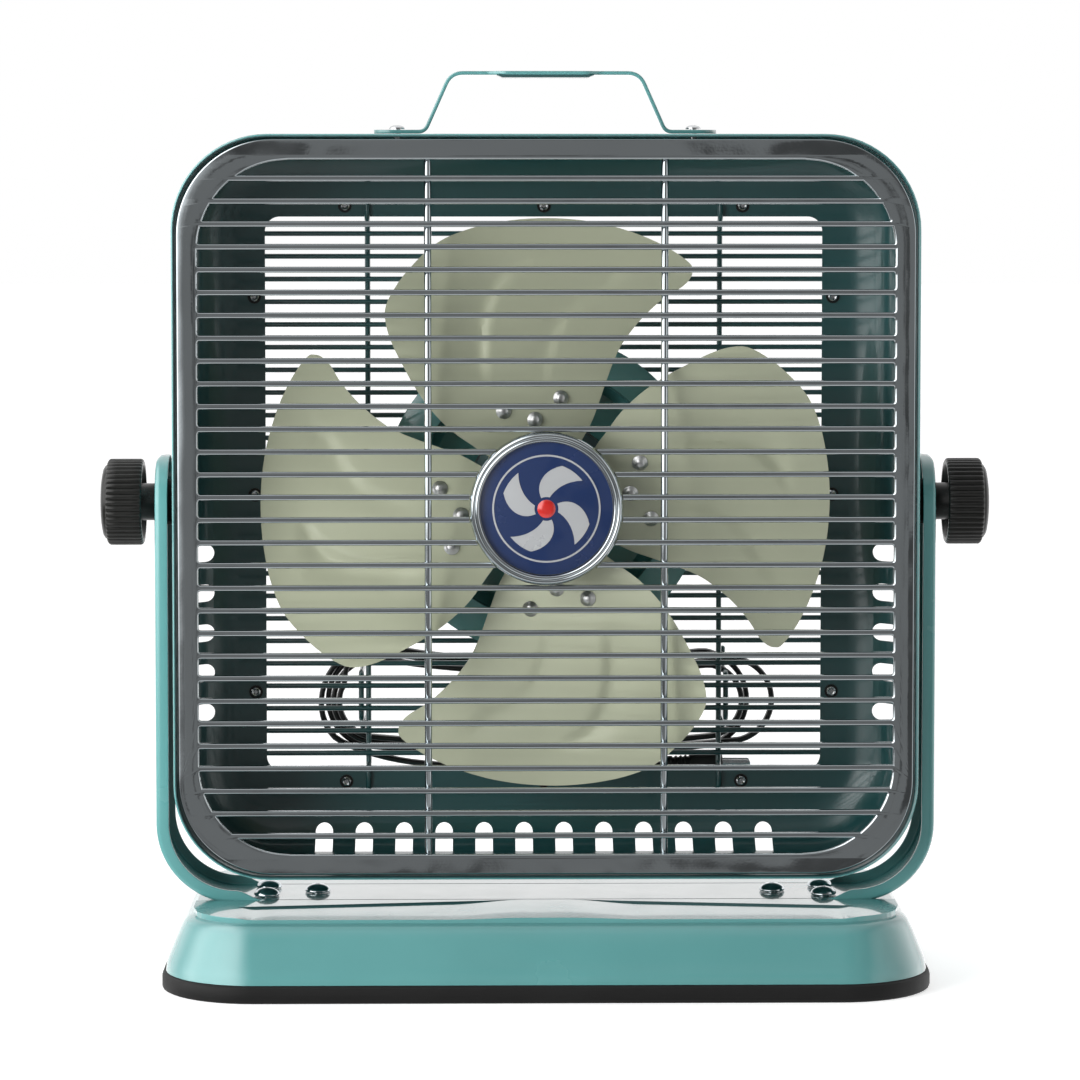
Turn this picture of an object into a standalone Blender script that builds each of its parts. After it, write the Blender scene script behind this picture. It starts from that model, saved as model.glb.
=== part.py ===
"""Box fan: a square head with a chrome front grille, tilting in a yoke on a weighted base.

Units are metres, +Z is up and the fan blows towards -Y. The origin is on the
surface that the fan stands on, under the middle of the base.
"""

import math

import bmesh
import bpy
from mathutils import Matrix, Vector

# ---------------------------------------------------------------- dimensions
GAP = 0.0003  # left between pieces that touch
PIVOT_Z = 0.250  # height of the tilt axis, and of the fan's own axis

HEAD_HALF = 0.194  # half the width and height of the housing
HEAD_CORNER = 0.050
HEAD_FRONT = -0.048
HEAD_BACK = 0.046
HEAD_WALL = 0.0016
SHOULDER = 0.030  # radius between the housing's sides and its rear flange
OPENING_HALF = 0.150
OPENING_CORNER = 0.008

VENT_WIDTH = 0.0094
VENT_PITCH = 0.0216
VENT_START = 0.0278  # from the opening's edge, outward
VENT_END = 0.0415
VENTS_BELOW = 12
VENTS_A_SIDE = 5
VENT_SIDE_TOP = -0.031  # the first side vent, from the pivot

GRILLE_HALF = 0.1915
GRILLE_INNER = 0.1818
GRILLE_CORNER = 0.040
GRILLE_FRONT = -0.0475
GRILLE_DEPTH = 0.006
BARS = 30
BAR_PITCH = 0.0118
BAR_HEIGHT = 0.0028
BAR_DEPTH = 0.0030
ROD_X = 0.0614
BADGE_RADIUS = 0.040
BADGE_DISC_RADIUS = 0.0345

GUARD_WIRES = 24
GUARD_PITCH = 0.01225
GUARD_WIRE = 0.00145  # wire radius
GUARD_Y = HEAD_BACK + GAP + GUARD_WIRE
GUARD_ROD = 0.0015
GUARD_ROD_X = 0.095
GUARD_SIDE_X = 0.157
GUARD_ROD_Y = GUARD_Y + GUARD_WIRE + GUARD_ROD - 0.0006

DISH_RADIUS = 0.087
DISH_Y = 0.0445
DISH_DEPTH = 0.023

FAN_Y = -0.017
BLADES = 4
BLADE_THICKNESS = 0.0010
BLADE_SLOPE_ROOT = 0.27
BLADE_SLOPE_TIP = 0.19
BLADE_CAMBER = 0.006
BLADE_FLAT = 0.062  # the riveted root is flat up to this radius
ARM_THICKNESS = 0.0015
ARM_OFFSET = 0.0017
RIVETS = ((-0.0223, 0.0493), (0.0078, 0.0556), (-0.0059, 0.0445))

SHAFT_RADIUS = 0.004
BORE_RADIUS = 0.0043
MOTOR_RADIUS = 0.042
STATOR_FRONT = 0.018
STATOR_BACK = 0.036

YOKE_HALF = 0.205
YOKE_WALL = 0.0018
YOKE_FLANGE = 0.0068
YOKE_HALF_WIDTH = 0.025
YOKE_BEND = 0.042
YOKE_TAPER = 0.014

BASE_TOP = 0.0393
BASE_WALL = 0.0014
RIM_HALF = (0.2005, 0.095)
RIM_WIDTH = 0.011
RIM_HEIGHT = 0.009
RIM_CORNER = 0.050
STRAP_BOTTOM = BASE_TOP + GAP
YOKE_SCREWS = ((0.1475, -0.012), (0.1475, 0.012), (0.121, 0.0))

KNOB_RADIUS = 0.0228
KNOB_START = YOKE_HALF + GAP
SPACER_RADIUS = 0.012

HANDLE_TOP = 0.477
HANDLE_THICKNESS = 0.002
HANDLE_SCREW_X = 0.078

CORD_RADIUS = 0.003
CORD_GAP = 0.0009  # between a cord's end, which leans a little, and what it meets
HANK_Y = 0.067
HANK_DEPTH = 0.020
HANK_MIDDLE = (0.0, 0.139)
HANK_HALF = (0.118, 0.029)
HANK_THICKNESS = 0.0095
HOOK_X = 0.099
HOOK_LEVELS = (0.152, 0.127)
HOOK_BACK = 0.082
PLUG = (0.067, 0.065, 0.100)
GLAND_ANGLE = math.radians(220)
GLAND_Y = 0.056
GLAND_START = 0.062
SWITCH_Z = PIVOT_Z - 0.054

TEAL = ("teal_paint", (0.127, 0.376, 0.381), 0.22, 0.0)
CREAM = ("cream_paint", (0.392, 0.413, 0.314), 0.35, 0.0)
CHROME = ("chrome", (0.60, 0.61, 0.63), 0.08, 1.0)
STEEL = ("bright_steel", (0.55, 0.56, 0.57), 0.30, 1.0)
IRON = ("lamination_steel", (0.18, 0.18, 0.19), 0.45, 1.0)
BRONZE = ("bearing_bronze", (0.45, 0.28, 0.12), 0.40, 1.0)
BLACK = ("black_plastic", (0.010, 0.010, 0.009), 0.45, 0.0)
RUBBER = ("black_rubber", (0.020, 0.020, 0.020), 0.70, 0.0)
ENAMEL = ("badge_enamel", (0.010, 0.016, 0.095), 0.15, 0.0)


# ------------------------------------------------------------------- helpers
def clear_scene():
    for obj in list(bpy.data.objects):
        bpy.data.objects.remove(obj, do_unlink=True)


def new_collection(name):
    group = bpy.data.collections.new(name)
    bpy.context.scene.collection.children.link(group)
    return group


def material(look):
    name, colour, roughness, metallic = look
    found = bpy.data.materials.get(name)
    if found:
        return found
    made = bpy.data.materials.new(name)
    made.use_nodes = True
    shader = made.node_tree.nodes["Principled BSDF"]
    shader.inputs["Base Color"].default_value = (*colour, 1.0)
    shader.inputs["Roughness"].default_value = roughness
    shader.inputs["Metallic"].default_value = metallic
    return made


def empty(name, location, parent=None):
    """An axis marker that moving pieces are parented to."""
    marker = bpy.data.objects.new(name, None)
    marker.location = location
    marker.empty_display_size = 0.03
    FAN.objects.link(marker)
    if parent:
        attach(marker, parent)
    bpy.context.view_layer.update()
    return marker


def attach(obj, parent):
    """Parents obj and keeps it where it is."""
    bpy.context.view_layer.update()
    obj.parent = parent
    obj.matrix_parent_inverse = parent.matrix_world.inverted()


def add_object(name, mesh, look=None, parent=None):
    """A new object in the fan's collection, or a cutter where it has no look."""
    obj = bpy.data.objects.new(name, mesh)
    if look is None:
        CUTTERS.objects.link(obj)
        obj.hide_render = True
        obj.display_type = "WIRE"
        return obj
    FAN.objects.link(obj)
    mesh.materials.clear()
    mesh.materials.append(material(look))
    mesh.shade_smooth()
    mesh.set_sharp_from_angle(angle=math.radians(35))
    if parent:
        attach(obj, parent)
    return obj


def mesh_from(name, bm):
    mesh = bpy.data.meshes.new(name)
    bm.to_mesh(mesh)
    bm.free()
    return mesh


def towards(direction):
    """The rotation that turns local +Z to the direction."""
    return Vector((0, 0, 1)).rotation_difference(Vector(direction)).to_matrix().to_4x4()


def add_box(bm, low, high):
    size = [b - a for a, b in zip(low, high)]
    middle = [(a + b) / 2 for a, b in zip(low, high)]
    place = Matrix.Translation(middle) @ Matrix.Diagonal((*size, 1))
    bmesh.ops.create_cube(bm, size=1, matrix=place)


def add_cylinder(bm, start, end, radius, sides):
    start, end = Vector(start), Vector(end)
    run = end - start
    place = Matrix.Translation((start + end) / 2) @ towards(run)
    bmesh.ops.create_cone(
        bm, cap_ends=True, segments=sides, radius1=radius, radius2=radius,
        depth=run.length, matrix=place,
    )


def boxes(name, spans, look=None, parent=None):
    """One mesh of separate boxes, each from its low to its high corner."""
    bm = bmesh.new()
    for low, high in spans:
        add_box(bm, low, high)
    return add_object(name, mesh_from(name, bm), look, parent)


def cylinders(name, runs, look=None, parent=None):
    """One mesh of separate cylinders: (start, end, radius, sides) each."""
    bm = bmesh.new()
    for start, end, radius, sides in runs:
        add_cylinder(bm, start, end, radius, sides)
    return add_object(name, mesh_from(name, bm), look, parent)


def turned(name, profile, base, direction, steps, look, parent=None):
    """A turned solid. The profile is (radius, height), outer side top to bottom."""
    bm = bmesh.new()
    points = [bm.verts.new((radius, 0, height)) for radius, height in profile]
    for first, second in zip(points, points[1:]):
        bm.edges.new((first, second))
    if profile[0][0] > 0:
        bm.edges.new((points[-1], points[0]))
    obj = add_object(name, mesh_from(name, bm), look)
    screw = obj.modifiers.new("turn", "SCREW")
    screw.steps = screw.render_steps = steps
    screw.use_merge_vertices = True
    screw.merge_threshold = 0.00001
    obj.matrix_world = Matrix.Translation(base) @ towards(direction)
    if parent:
        attach(obj, parent)
    return obj


def as_mesh(curve_obj, look, parent=None):
    """The object's shape as a welded mesh object, in place of the curve."""
    bpy.context.view_layer.update()
    graph = bpy.context.evaluated_depsgraph_get()
    name = curve_obj.name
    mesh = bpy.data.meshes.new_from_object(curve_obj.evaluated_get(graph))
    place = curve_obj.matrix_world.copy()
    bpy.data.objects.remove(curve_obj, do_unlink=True)
    bm = bmesh.new()
    bm.from_mesh(mesh)
    bmesh.ops.remove_doubles(bm, verts=bm.verts, dist=0.00001)
    bmesh.ops.recalc_face_normals(bm, faces=bm.faces)
    bm.to_mesh(mesh)
    bm.free()
    mesh.name = name
    made = add_object(name, mesh, look)
    made.matrix_world = place
    if parent:
        attach(made, parent)
    return made


def flat_plate(name, outlines, thickness, middle, normal, look, parent=None):
    """A flat plate: the first outline less the others, which are holes."""
    curve = bpy.data.curves.new(name, "CURVE")
    curve.dimensions = "2D"
    curve.fill_mode = "BOTH"
    curve.extrude = thickness / 2
    for outline in outlines:
        spline = curve.splines.new("POLY")
        spline.points.add(len(outline) - 1)
        spline.use_cyclic_u = True
        for point, (x, y) in zip(spline.points, outline):
            point.co = (x, y, 0, 1)
    obj = bpy.data.objects.new(name, curve)
    FAN.objects.link(obj)
    turn = Matrix.Rotation(math.radians(90), 4, "X") if normal == "Y" else Matrix()
    obj.matrix_world = Matrix.Translation(middle) @ turn
    return as_mesh(obj, look, parent)


def tube(name, points, radius, resolution, look, parent=None):
    curve = bpy.data.curves.new(name, "CURVE")
    curve.dimensions = "3D"
    curve.bevel_depth = radius
    curve.bevel_resolution = resolution
    curve.use_fill_caps = True
    spline = curve.splines.new("POLY")
    spline.points.add(len(points) - 1)
    for point, place in zip(spline.points, points):
        point.co = (*place, 1)
    obj = bpy.data.objects.new(name, curve)
    FAN.objects.link(obj)
    return as_mesh(obj, look, parent)


def loft(name, rings, look, parent=None, close=False, cap=False, flip=False):
    """Quads between rings of points. close caps both ends, cap only the last."""
    bm = bmesh.new()
    rows = [[bm.verts.new(point) for point in ring] for ring in rings]
    count = len(rows[0])
    for lower, upper in zip(rows, rows[1:]):
        for i in range(count):
            j = (i + 1) % count
            quad = (lower[i], lower[j], upper[j], upper[i])
            bm.faces.new(quad[::-1] if flip else quad)
    if close:
        bm.faces.new(rows[0])
        bm.faces.new(rows[-1])
        bmesh.ops.recalc_face_normals(bm, faces=bm.faces)
    if cap:
        bm.faces.new(rows[-1])
    return add_object(name, mesh_from(name, bm), look, parent)


def solidify(obj, thickness, offset=-1.0):
    shell = obj.modifiers.new("wall", "SOLIDIFY")
    shell.thickness = thickness
    shell.offset = offset
    shell.use_even_offset = True


def combine(obj, other, operation):
    """A Boolean; a tool that was joined in is kept with the cutters."""
    step = obj.modifiers.new(operation.lower(), "BOOLEAN")
    step.operation = operation
    step.solver = "EXACT"
    step.object = other


def rounded_rect(half_x, half_y, radius, steps=5):
    points = []
    for quarter, (side_x, side_y) in enumerate(((1, 1), (-1, 1), (-1, -1), (1, -1))):
        for step in range(steps + 1):
            angle = math.radians(90 * quarter + 90 * step / steps)
            x = side_x * (half_x - radius) + radius * math.cos(angle)
            y = side_y * (half_y - radius) + radius * math.sin(angle)
            points.append((x, y))
    return points


def smooth_route(points, per_span):
    """Points on a Catmull-Rom curve through the route's own points."""
    route = [Vector(p) for p in points]
    ends = [2 * route[0] - route[1]] + route + [2 * route[-1] - route[-2]]
    made = []
    for a, b, c, d in zip(ends, ends[1:], ends[2:], ends[3:]):
        for step in range(per_span):
            t = step / per_span
            made.append(
                0.5 * (2 * b + (c - a) * t + (2 * a - 5 * b + 4 * c - d) * t * t
                       + (3 * b - a - 3 * c + d) * t ** 3)
            )
    return made + [route[-1]]


# ---------------------------------------------------------------------- base
def make_base():
    outer = rounded_rect(*RIM_HALF, RIM_CORNER, 6)
    inner = rounded_rect(
        RIM_HALF[0] - RIM_WIDTH, RIM_HALF[1] - RIM_WIDTH, RIM_CORNER - RIM_WIDTH, 6
    )
    middle = (0, 0, RIM_HEIGHT / 2)
    flat_plate("base_rim", (outer, inner), RIM_HEIGHT, middle, "Z", RUBBER)

    # (inset from the rim's outer edge, height), from the skirt up to the flat top
    levels = ((0.0020, 0.0093), (0.0030, 0.015), (0.0098, 0.0315), (0.0125, 0.0365),
              (0.0160, 0.0387), (0.0200, BASE_TOP))
    rings = []
    for inset, height in levels:
        outline = rounded_rect(
            RIM_HALF[0] - inset, RIM_HALF[1] - inset, RIM_CORNER - inset, 6
        )
        rings.append([(x, y, height) for x, y in outline])
    shell = loft("base_shell", rings, TEAL, cap=True)
    solidify(shell, BASE_WALL)
    combine(shell, screw_hole_cutter("base_screw_holes"), "DIFFERENCE")


def screw_places():
    for side in (-1, 1):
        for x, y in YOKE_SCREWS:
            yield side * x, y


def screw_hole_cutter(name):
    runs = [((x, y, 0.030), (x, y, 0.050), 0.0034, 8) for x, y in screw_places()]
    return cylinders(name, runs)


def make_yoke_screws():
    head = ((0, 0.0040), (0.0028, 0.0037), (0.0052, 0.0026), (0.0068, 0))
    shank = ((0.0030, 0), (0.0030, -0.0105), (0, -0.0105))
    seat = STRAP_BOTTOM + YOKE_WALL + 2 * GAP
    for number, (x, y) in enumerate(screw_places(), 1):
        turned(f"yoke_screw_{number}", head + shank, (x, y, seat), (0, 0, 1), 10, STEEL)


# ---------------------------------------------------------------------- yoke
def channel_section(place, inward, half_width, flange):
    """A channel's outline: its web lies on place and its flanges point inward."""
    wall = YOKE_WALL
    outline = (
        (-half_width, 0), (half_width, 0), (half_width, flange),
        (half_width - wall, flange), (half_width - wall, wall),
        (wall - half_width, wall), (wall - half_width, flange), (-half_width, flange),
    )
    return [
        (place[0] + inward[0] * depth, across, place[1] + inward[1] * depth)
        for across, depth in outline
    ]


def half_yoke():
    """Sections of the left arm, from its round top to the middle of the strap."""
    sections = []
    for degrees in (85.5, 76, 60, 42, 22):
        angle = math.radians(degrees)
        height = PIVOT_Z + YOKE_HALF_WIDTH * math.sin(angle)
        half_width = YOKE_HALF_WIDTH * math.cos(angle)
        sections.append(((-YOKE_HALF, height), (1, 0), half_width, YOKE_FLANGE))
    sections.append(((-YOKE_HALF, PIVOT_Z), (1, 0), YOKE_HALF_WIDTH, YOKE_FLANGE))
    bend_x = YOKE_BEND - YOKE_HALF
    bend_z = YOKE_BEND + STRAP_BOTTOM
    for step in range(7):
        angle = math.radians(90 * step / 6)
        inward = (math.cos(angle), math.sin(angle))
        place = (bend_x - YOKE_BEND * inward[0], bend_z - YOKE_BEND * inward[1])
        sections.append((place, inward, YOKE_HALF_WIDTH, YOKE_FLANGE))
    lip = YOKE_WALL + 0.0004
    sections.append(((bend_x + YOKE_TAPER, STRAP_BOTTOM), (0, 1), YOKE_HALF_WIDTH, lip))
    return sections


def make_yoke():
    left = half_yoke()
    right = [((-x, z), (-i, k), w, f) for (x, z), (i, k), w, f in reversed(left)]
    rings = [channel_section(*section) for section in left + right]
    yoke = loft("yoke", rings, TEAL, close=True)
    combine(yoke, screw_hole_cutter("yoke_screw_holes"), "DIFFERENCE")
    ends = ((-0.212, 0, PIVOT_Z), (0.212, 0, PIVOT_Z))
    combine(yoke, cylinders("yoke_pivot_holes", [(*ends, 0.0045, 12)]), "DIFFERENCE")


# ------------------------------------------------------------------- housing
def vent_outline_cutters():
    """Blind-ended slots: round towards the opening, square towards the side."""
    runs = []
    spans = []
    start = OPENING_HALF + VENT_START + VENT_WIDTH / 2
    end = OPENING_HALF + VENT_END
    front, back = HEAD_BACK - SHOULDER - 0.004, HEAD_BACK + 0.006
    half = VENT_WIDTH / 2
    for index in range(VENTS_BELOW):
        x = (index - (VENTS_BELOW - 1) / 2) * VENT_PITCH
        spans.append(((x - half, front, PIVOT_Z - end), (x + half, back, PIVOT_Z - start)))
        runs.append(((x, front, PIVOT_Z - start), (x, back, PIVOT_Z - start), half, 12))
    for side in (-1, 1):
        for index in range(VENTS_A_SIDE):
            z = PIVOT_Z + VENT_SIDE_TOP - index * VENT_PITCH
            low, high = sorted((side * start, side * end))
            spans.append(((low, front, z - half), (high, back, z + half)))
            runs.append(((side * start, front, z), (side * start, back, z), half, 12))
    return boxes("vent_slots", spans), cylinders("vent_slot_ends", runs)


def make_housing(head):
    rings = []
    stations = [(0, HEAD_FRONT)]
    for step in range(5):
        angle = math.radians(90 * step / 4)
        inset = SHOULDER * (1 - math.cos(angle))
        stations.append((inset, HEAD_BACK - SHOULDER * (1 - math.sin(angle))))
    for inset, y in stations:
        outline = rounded_rect(HEAD_HALF - inset, HEAD_HALF - inset, HEAD_CORNER - inset)
        rings.append([(x, y, PIVOT_Z + z) for x, z in outline])
    outline = rounded_rect(OPENING_HALF, OPENING_HALF, OPENING_CORNER)
    rings.append([(x, HEAD_BACK, PIVOT_Z + z) for x, z in outline])
    housing = loft("housing", rings, TEAL, head, flip=True)
    solidify(housing, HEAD_WALL)
    slots, ends = vent_outline_cutters()
    combine(slots, ends, "UNION")
    combine(housing, slots, "DIFFERENCE")
    holes = [((-0.198, 0, PIVOT_Z), (0.198, 0, PIVOT_Z), 0.0045, 10)]
    top = PIVOT_Z + HEAD_HALF
    for side in (-1, 1):
        x = side * HANDLE_SCREW_X
        holes.append(((x, 0, top - 0.006), (x, 0, top + 0.006), 0.0024, 8))
    combine(housing, cylinders("housing_holes", holes), "DIFFERENCE")


# -------------------------------------------------------------- front grille
def half_width_at(half, corner, height):
    """Half the width of a rounded square at a height from its middle."""
    above = abs(height) - (half - corner)
    if above <= 0:
        return half
    return half - corner + math.sqrt(max(corner * corner - above * above, 0))


def make_front_grille(head):
    outer_corner = GRILLE_CORNER + GRILLE_HALF - GRILLE_INNER
    outer = rounded_rect(GRILLE_HALF, GRILLE_HALF, outer_corner, 7)
    inner = rounded_rect(GRILLE_INNER, GRILLE_INNER - 0.001, GRILLE_CORNER, 7)
    middle = (0, GRILLE_FRONT + GRILLE_DEPTH / 2, PIVOT_Z)
    grille = flat_plate("front_grille", (outer, inner), GRILLE_DEPTH, middle, "Y", CHROME, head)
    spans = []
    for index in range(BARS):
        height = (index - (BARS - 1) / 2) * BAR_PITCH
        reach = half_width_at(GRILLE_INNER, GRILLE_CORNER, height) + 0.0035
        z = PIVOT_Z + height
        low = (-reach, GRILLE_FRONT + 0.0005, z - BAR_HEIGHT / 2)
        high = (reach, GRILLE_FRONT + 0.0005 + BAR_DEPTH, z + BAR_HEIGHT / 2)
        spans.append((low, high))
    bars = boxes("grille_bars", spans)
    cutter = cylinders("grille_badge_hole", [(
        (0, GRILLE_FRONT - 0.01, PIVOT_Z), (0, GRILLE_FRONT + 0.02, PIVOT_Z),
        BADGE_RADIUS + GAP, 40,
    )])
    combine(bars, cutter, "DIFFERENCE")
    rod_y = GRILLE_FRONT + BAR_DEPTH + 0.0015
    reach = GRILLE_INNER + 0.003
    rods = cylinders("grille_rods", [
        ((side * ROD_X, rod_y, PIVOT_Z - reach), (side * ROD_X, rod_y, PIVOT_Z + reach),
         0.0016, 6)
        for side in (-1, 1)
    ])
    combine(grille, bars, "UNION")
    combine(grille, rods, "UNION")


def make_badge(head):
    front = GRILLE_FRONT - 0.0025
    ring = (
        (0.0352, 0), (0.0378, 0.0003), (0.0395, -0.0014), (BADGE_RADIUS, -0.0035),
        (BADGE_RADIUS, -0.0085), (0.0200, -0.0085), (0.0200, -0.0065), (0.0352, -0.0065),
    )
    turned("badge_ring", ring, (0, front, PIVOT_Z), (0, -1, 0), 28, CHROME, head)
    disc = (
        (0, -0.0016), (0.0180, -0.0020), (BADGE_DISC_RADIUS, -0.0034),
        (BADGE_DISC_RADIUS, -0.0062), (0, -0.0062),
    )
    turned("badge_disc", disc, (0, front, PIVOT_Z), (0, -1, 0), 28, ENAMEL, head)


# -------------------------------------------------------------------- handle
def make_handle(head):
    """A bent strap, wider at the grip, on two feet."""
    foot = PIVOT_Z + HEAD_HALF + GAP
    grip = HANDLE_TOP - HANDLE_THICKNESS
    # (x, height, half width), along the strap's underside
    half = (
        (-0.0900, foot, 0.009), (-0.0665, foot, 0.009), (-0.0630, foot + 0.0012, 0.009),
        (-0.0605, foot + 0.0045, 0.009), (-0.0515, grip - 0.0060, 0.010),
        (-0.0488, grip - 0.0018, 0.010), (-0.0445, grip, 0.010),
        (-0.0290, grip, 0.0105), (-0.0240, grip, 0.0135),
    )
    path = list(half) + [(-x, z, w) for x, z, w in reversed(half)]
    places = [Vector((x, z)) for x, z, _ in path]
    rings = []
    for index, (x, z, width) in enumerate(path):
        before = places[max(index - 1, 0)]
        after = places[min(index + 1, len(places) - 1)]
        run = (after - before).normalized()
        lift = Vector((-run.y, run.x)) * HANDLE_THICKNESS
        rings.append([
            (x, -width, z), (x, width, z),
            (x + lift.x, width, z + lift.y), (x + lift.x, -width, z + lift.y),
        ])
    handle = loft("handle", rings, TEAL, head, close=True)
    holes = []
    head_profile = ((0, 0.0022), (0.0022, 0.0019), (0.0042, 0))
    shank = ((0.0020, 0), (0.0020, -0.0075), (0, -0.0075))
    seat = foot + HANDLE_THICKNESS + GAP
    for side, word in ((-1, "left"), (1, "right")):
        x = side * HANDLE_SCREW_X
        holes.append(((x, 0, foot - 0.003), (x, 0, foot + 0.006), 0.0024, 8))
        turned(f"handle_screw_{word}", head_profile + shank, (x, 0, seat), (0, 0, 1),
               8, STEEL, head)
    combine(handle, cylinders("handle_holes", holes), "DIFFERENCE")


# ---------------------------------------------------------------- rear guard
def make_rear_guard(head):
    """Welded wires. Those that meet the motor dish end on its flange."""
    end_radius = DISH_RADIUS - 0.005
    runs = []
    for index in range(GUARD_WIRES):
        height = (index - (GUARD_WIRES - 1) / 2) * GUARD_PITCH
        z = PIVOT_Z + height
        if abs(height) > end_radius - 0.004:
            runs.append(((-GUARD_SIDE_X, GUARD_Y, z), (GUARD_SIDE_X, GUARD_Y, z)))
            continue
        stop = math.sqrt(end_radius ** 2 - height ** 2)
        runs.append(((-GUARD_SIDE_X, GUARD_Y, z), (-stop, GUARD_Y, z)))
        runs.append(((stop, GUARD_Y, z), (GUARD_SIDE_X, GUARD_Y, z)))
    guard = cylinders(
        "rear_guard", [(a, b, GUARD_WIRE, 4) for a, b in runs], TEAL, head
    )
    uprights = []
    for x, reach in ((GUARD_ROD_X, 0.157), (GUARD_SIDE_X, 0.145)):
        for side in (-1, 1):
            uprights.append((
                (side * x, GUARD_ROD_Y, PIVOT_Z - reach),
                (side * x, GUARD_ROD_Y, PIVOT_Z + reach), GUARD_ROD, 6,
            ))
    combine(guard, cylinders("guard_uprights", uprights), "UNION")


def make_cord_hooks(head):
    """A bent wire behind each guard upright, with an arm above and one below."""
    upper, lower = HOOK_LEVELS
    near = GUARD_ROD_Y + 0.0012
    for side, word in ((-1, "left"), (1, "right")):
        x = side * HOOK_X
        path = (
            (x, HOOK_BACK, upper + 0.010), (x, HOOK_BACK, upper + 0.003),
            (x, HOOK_BACK - 0.003, upper), (x, near + 0.003, upper),
            (x, near, upper - 0.003), (x, near, lower + 0.003), (x, near + 0.003, lower),
            (x, HOOK_BACK - 0.003, lower), (x, HOOK_BACK, lower - 0.003),
            (x, HOOK_BACK, lower - 0.010),
        )
        tube(f"cord_hook_{word}", path, GUARD_ROD, 1, TEAL, head)


# --------------------------------------------------------------------- motor
def make_motor_dish(head):
    depth = DISH_DEPTH
    profile = (
        (0, depth), (0.0640, depth), (0.0685, depth - 0.004), (0.0700, 0.0015),
        (DISH_RADIUS, 0.0015), (DISH_RADIUS, 0), (0.0685, 0), (0.0670, depth - 0.0048),
        (0.0634, depth - 0.0015), (0, depth - 0.0015),
    )
    dish = turned("motor_dish", profile, (0, DISH_Y, PIVOT_Z), (0, 1, 0), 32, TEAL, head)
    way = Vector((math.cos(GLAND_ANGLE), 0, math.sin(GLAND_ANGLE)))
    centre = Vector((0, GLAND_Y, PIVOT_Z))
    holes = [
        (centre + way * 0.060, centre + way * 0.078, 0.0061, 12),
        ((0, DISH_Y + 0.010, SWITCH_Z), (0, DISH_Y + 0.030, SWITCH_Z), 0.0033, 8),
    ]
    combine(dish, cylinders("dish_holes", holes), "DIFFERENCE")


def make_motor(head):
    stator = (
        (0.0224, 0.009), (MOTOR_RADIUS, 0.009), (MOTOR_RADIUS, -0.009), (0.0224, -0.009),
    )
    middle = (0, (STATOR_FRONT + STATOR_BACK) / 2, PIVOT_Z)
    turned("stator", stator, middle, (0, 1, 0), 20, IRON, head)
    seat = 0.0071
    cup = (
        (0.0360, 0.0095), (MOTOR_RADIUS, 0.005), (MOTOR_RADIUS, 0), (0.0395, 0),
        (0.0395, 0.0040), (0.0345, 0.0070), (0.0110, 0.0085), (seat, 0.0085),
    )
    front_nose = ((seat, 0.0145), (0.0120, 0.0145), (0.0130, 0.0110))
    reach = DISH_Y + DISH_DEPTH - 0.0015 - GAP - (STATOR_BACK + GAP)
    rear_nose = ((seat, reach), (0.0200, reach), (0.0200, 0.0110))
    front = (0, STATOR_FRONT - GAP, PIVOT_Z)
    rear = (0, STATOR_BACK + GAP, PIVOT_Z)
    turned("motor_front_bell", front_nose + cup, front, (0, -1, 0), 16, TEAL, head)
    turned("motor_rear_bell", rear_nose + cup, rear, (0, 1, 0), 16, TEAL, head)
    bush = (
        (BORE_RADIUS, 0.0145), (seat - GAP, 0.0145), (seat - GAP, 0.0085),
        (BORE_RADIUS, 0.0085),
    )
    turned("front_bearing", bush, front, (0, -1, 0), 14, BRONZE, head)
    turned("rear_bearing", bush, rear, (0, 1, 0), 14, BRONZE, head)


def make_electrics(head):
    back = DISH_Y + DISH_DEPTH - 0.0015 - GAP
    switch = boxes(
        "speed_switch",
        [((-0.011, 0.046, SWITCH_Z - 0.0085), (0.011, back, SWITCH_Z + 0.0095))],
        BLACK, head,
    )
    socket = cylinders("switch_socket", [
        ((0, 0.056, SWITCH_Z), (0, 0.075, SWITCH_Z), 0.0033, 8)
    ])
    combine(switch, socket, "DIFFERENCE")
    boxes(
        "run_capacitor",
        [((-0.017, 0.046, PIVOT_Z + 0.0455), (0.017, back, PIVOT_Z + 0.0605))],
        BLACK, head,
    )


def make_speed_knob(parent):
    profile = (
        (0, 0.0280), (0.0110, 0.0280), (0.0130, 0.0265), (0.0150, 0.0145),
        (0.0030, 0.0145), (0.0030, 0), (0, 0),
    )
    turned("speed_knob", profile, (0, 0.0562, SWITCH_Z), (0, 1, 0), 20, BLACK, parent)


# ----------------------------------------------------------------------- fan
def blade_depth(x, z):
    """How far back the blade's middle surface lies, for the blade that points up."""
    out = min(max((z - BLADE_FLAT) / (0.150 - BLADE_FLAT), 0), 1)
    ease = out * out * (3 - 2 * out)
    slope = BLADE_SLOPE_ROOT + (BLADE_SLOPE_TIP - BLADE_SLOPE_ROOT) * ease
    bow = 1 - min(abs(x + 0.003) / 0.082, 1) ** 2
    return slope * x + BLADE_CAMBER * ease * bow


def blade_edges():
    """(radius, angle of the left edge, angle of the right edge) in degrees from up."""
    return (
        (0.030, -44.0, 30.0), (0.040, -49.5, 30.0), (0.050, -50.6, 29.6),
        (0.062, -51.4, 27.8), (0.076, -50.2, 26.2), (0.090, -48.0, 25.7),
        (0.104, -45.4, 27.0), (0.117, -43.2, 28.9), (0.127, -41.0, 30.8),
        (0.134, -38.4, 32.4), (0.140, -33.2, 33.0), (0.1445, -28.0, 32.6),
        (0.1475, -24.2, 31.0), (0.1493, -20.5, 24.0), (0.1500, -15.0, 12.0),
    )


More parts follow.
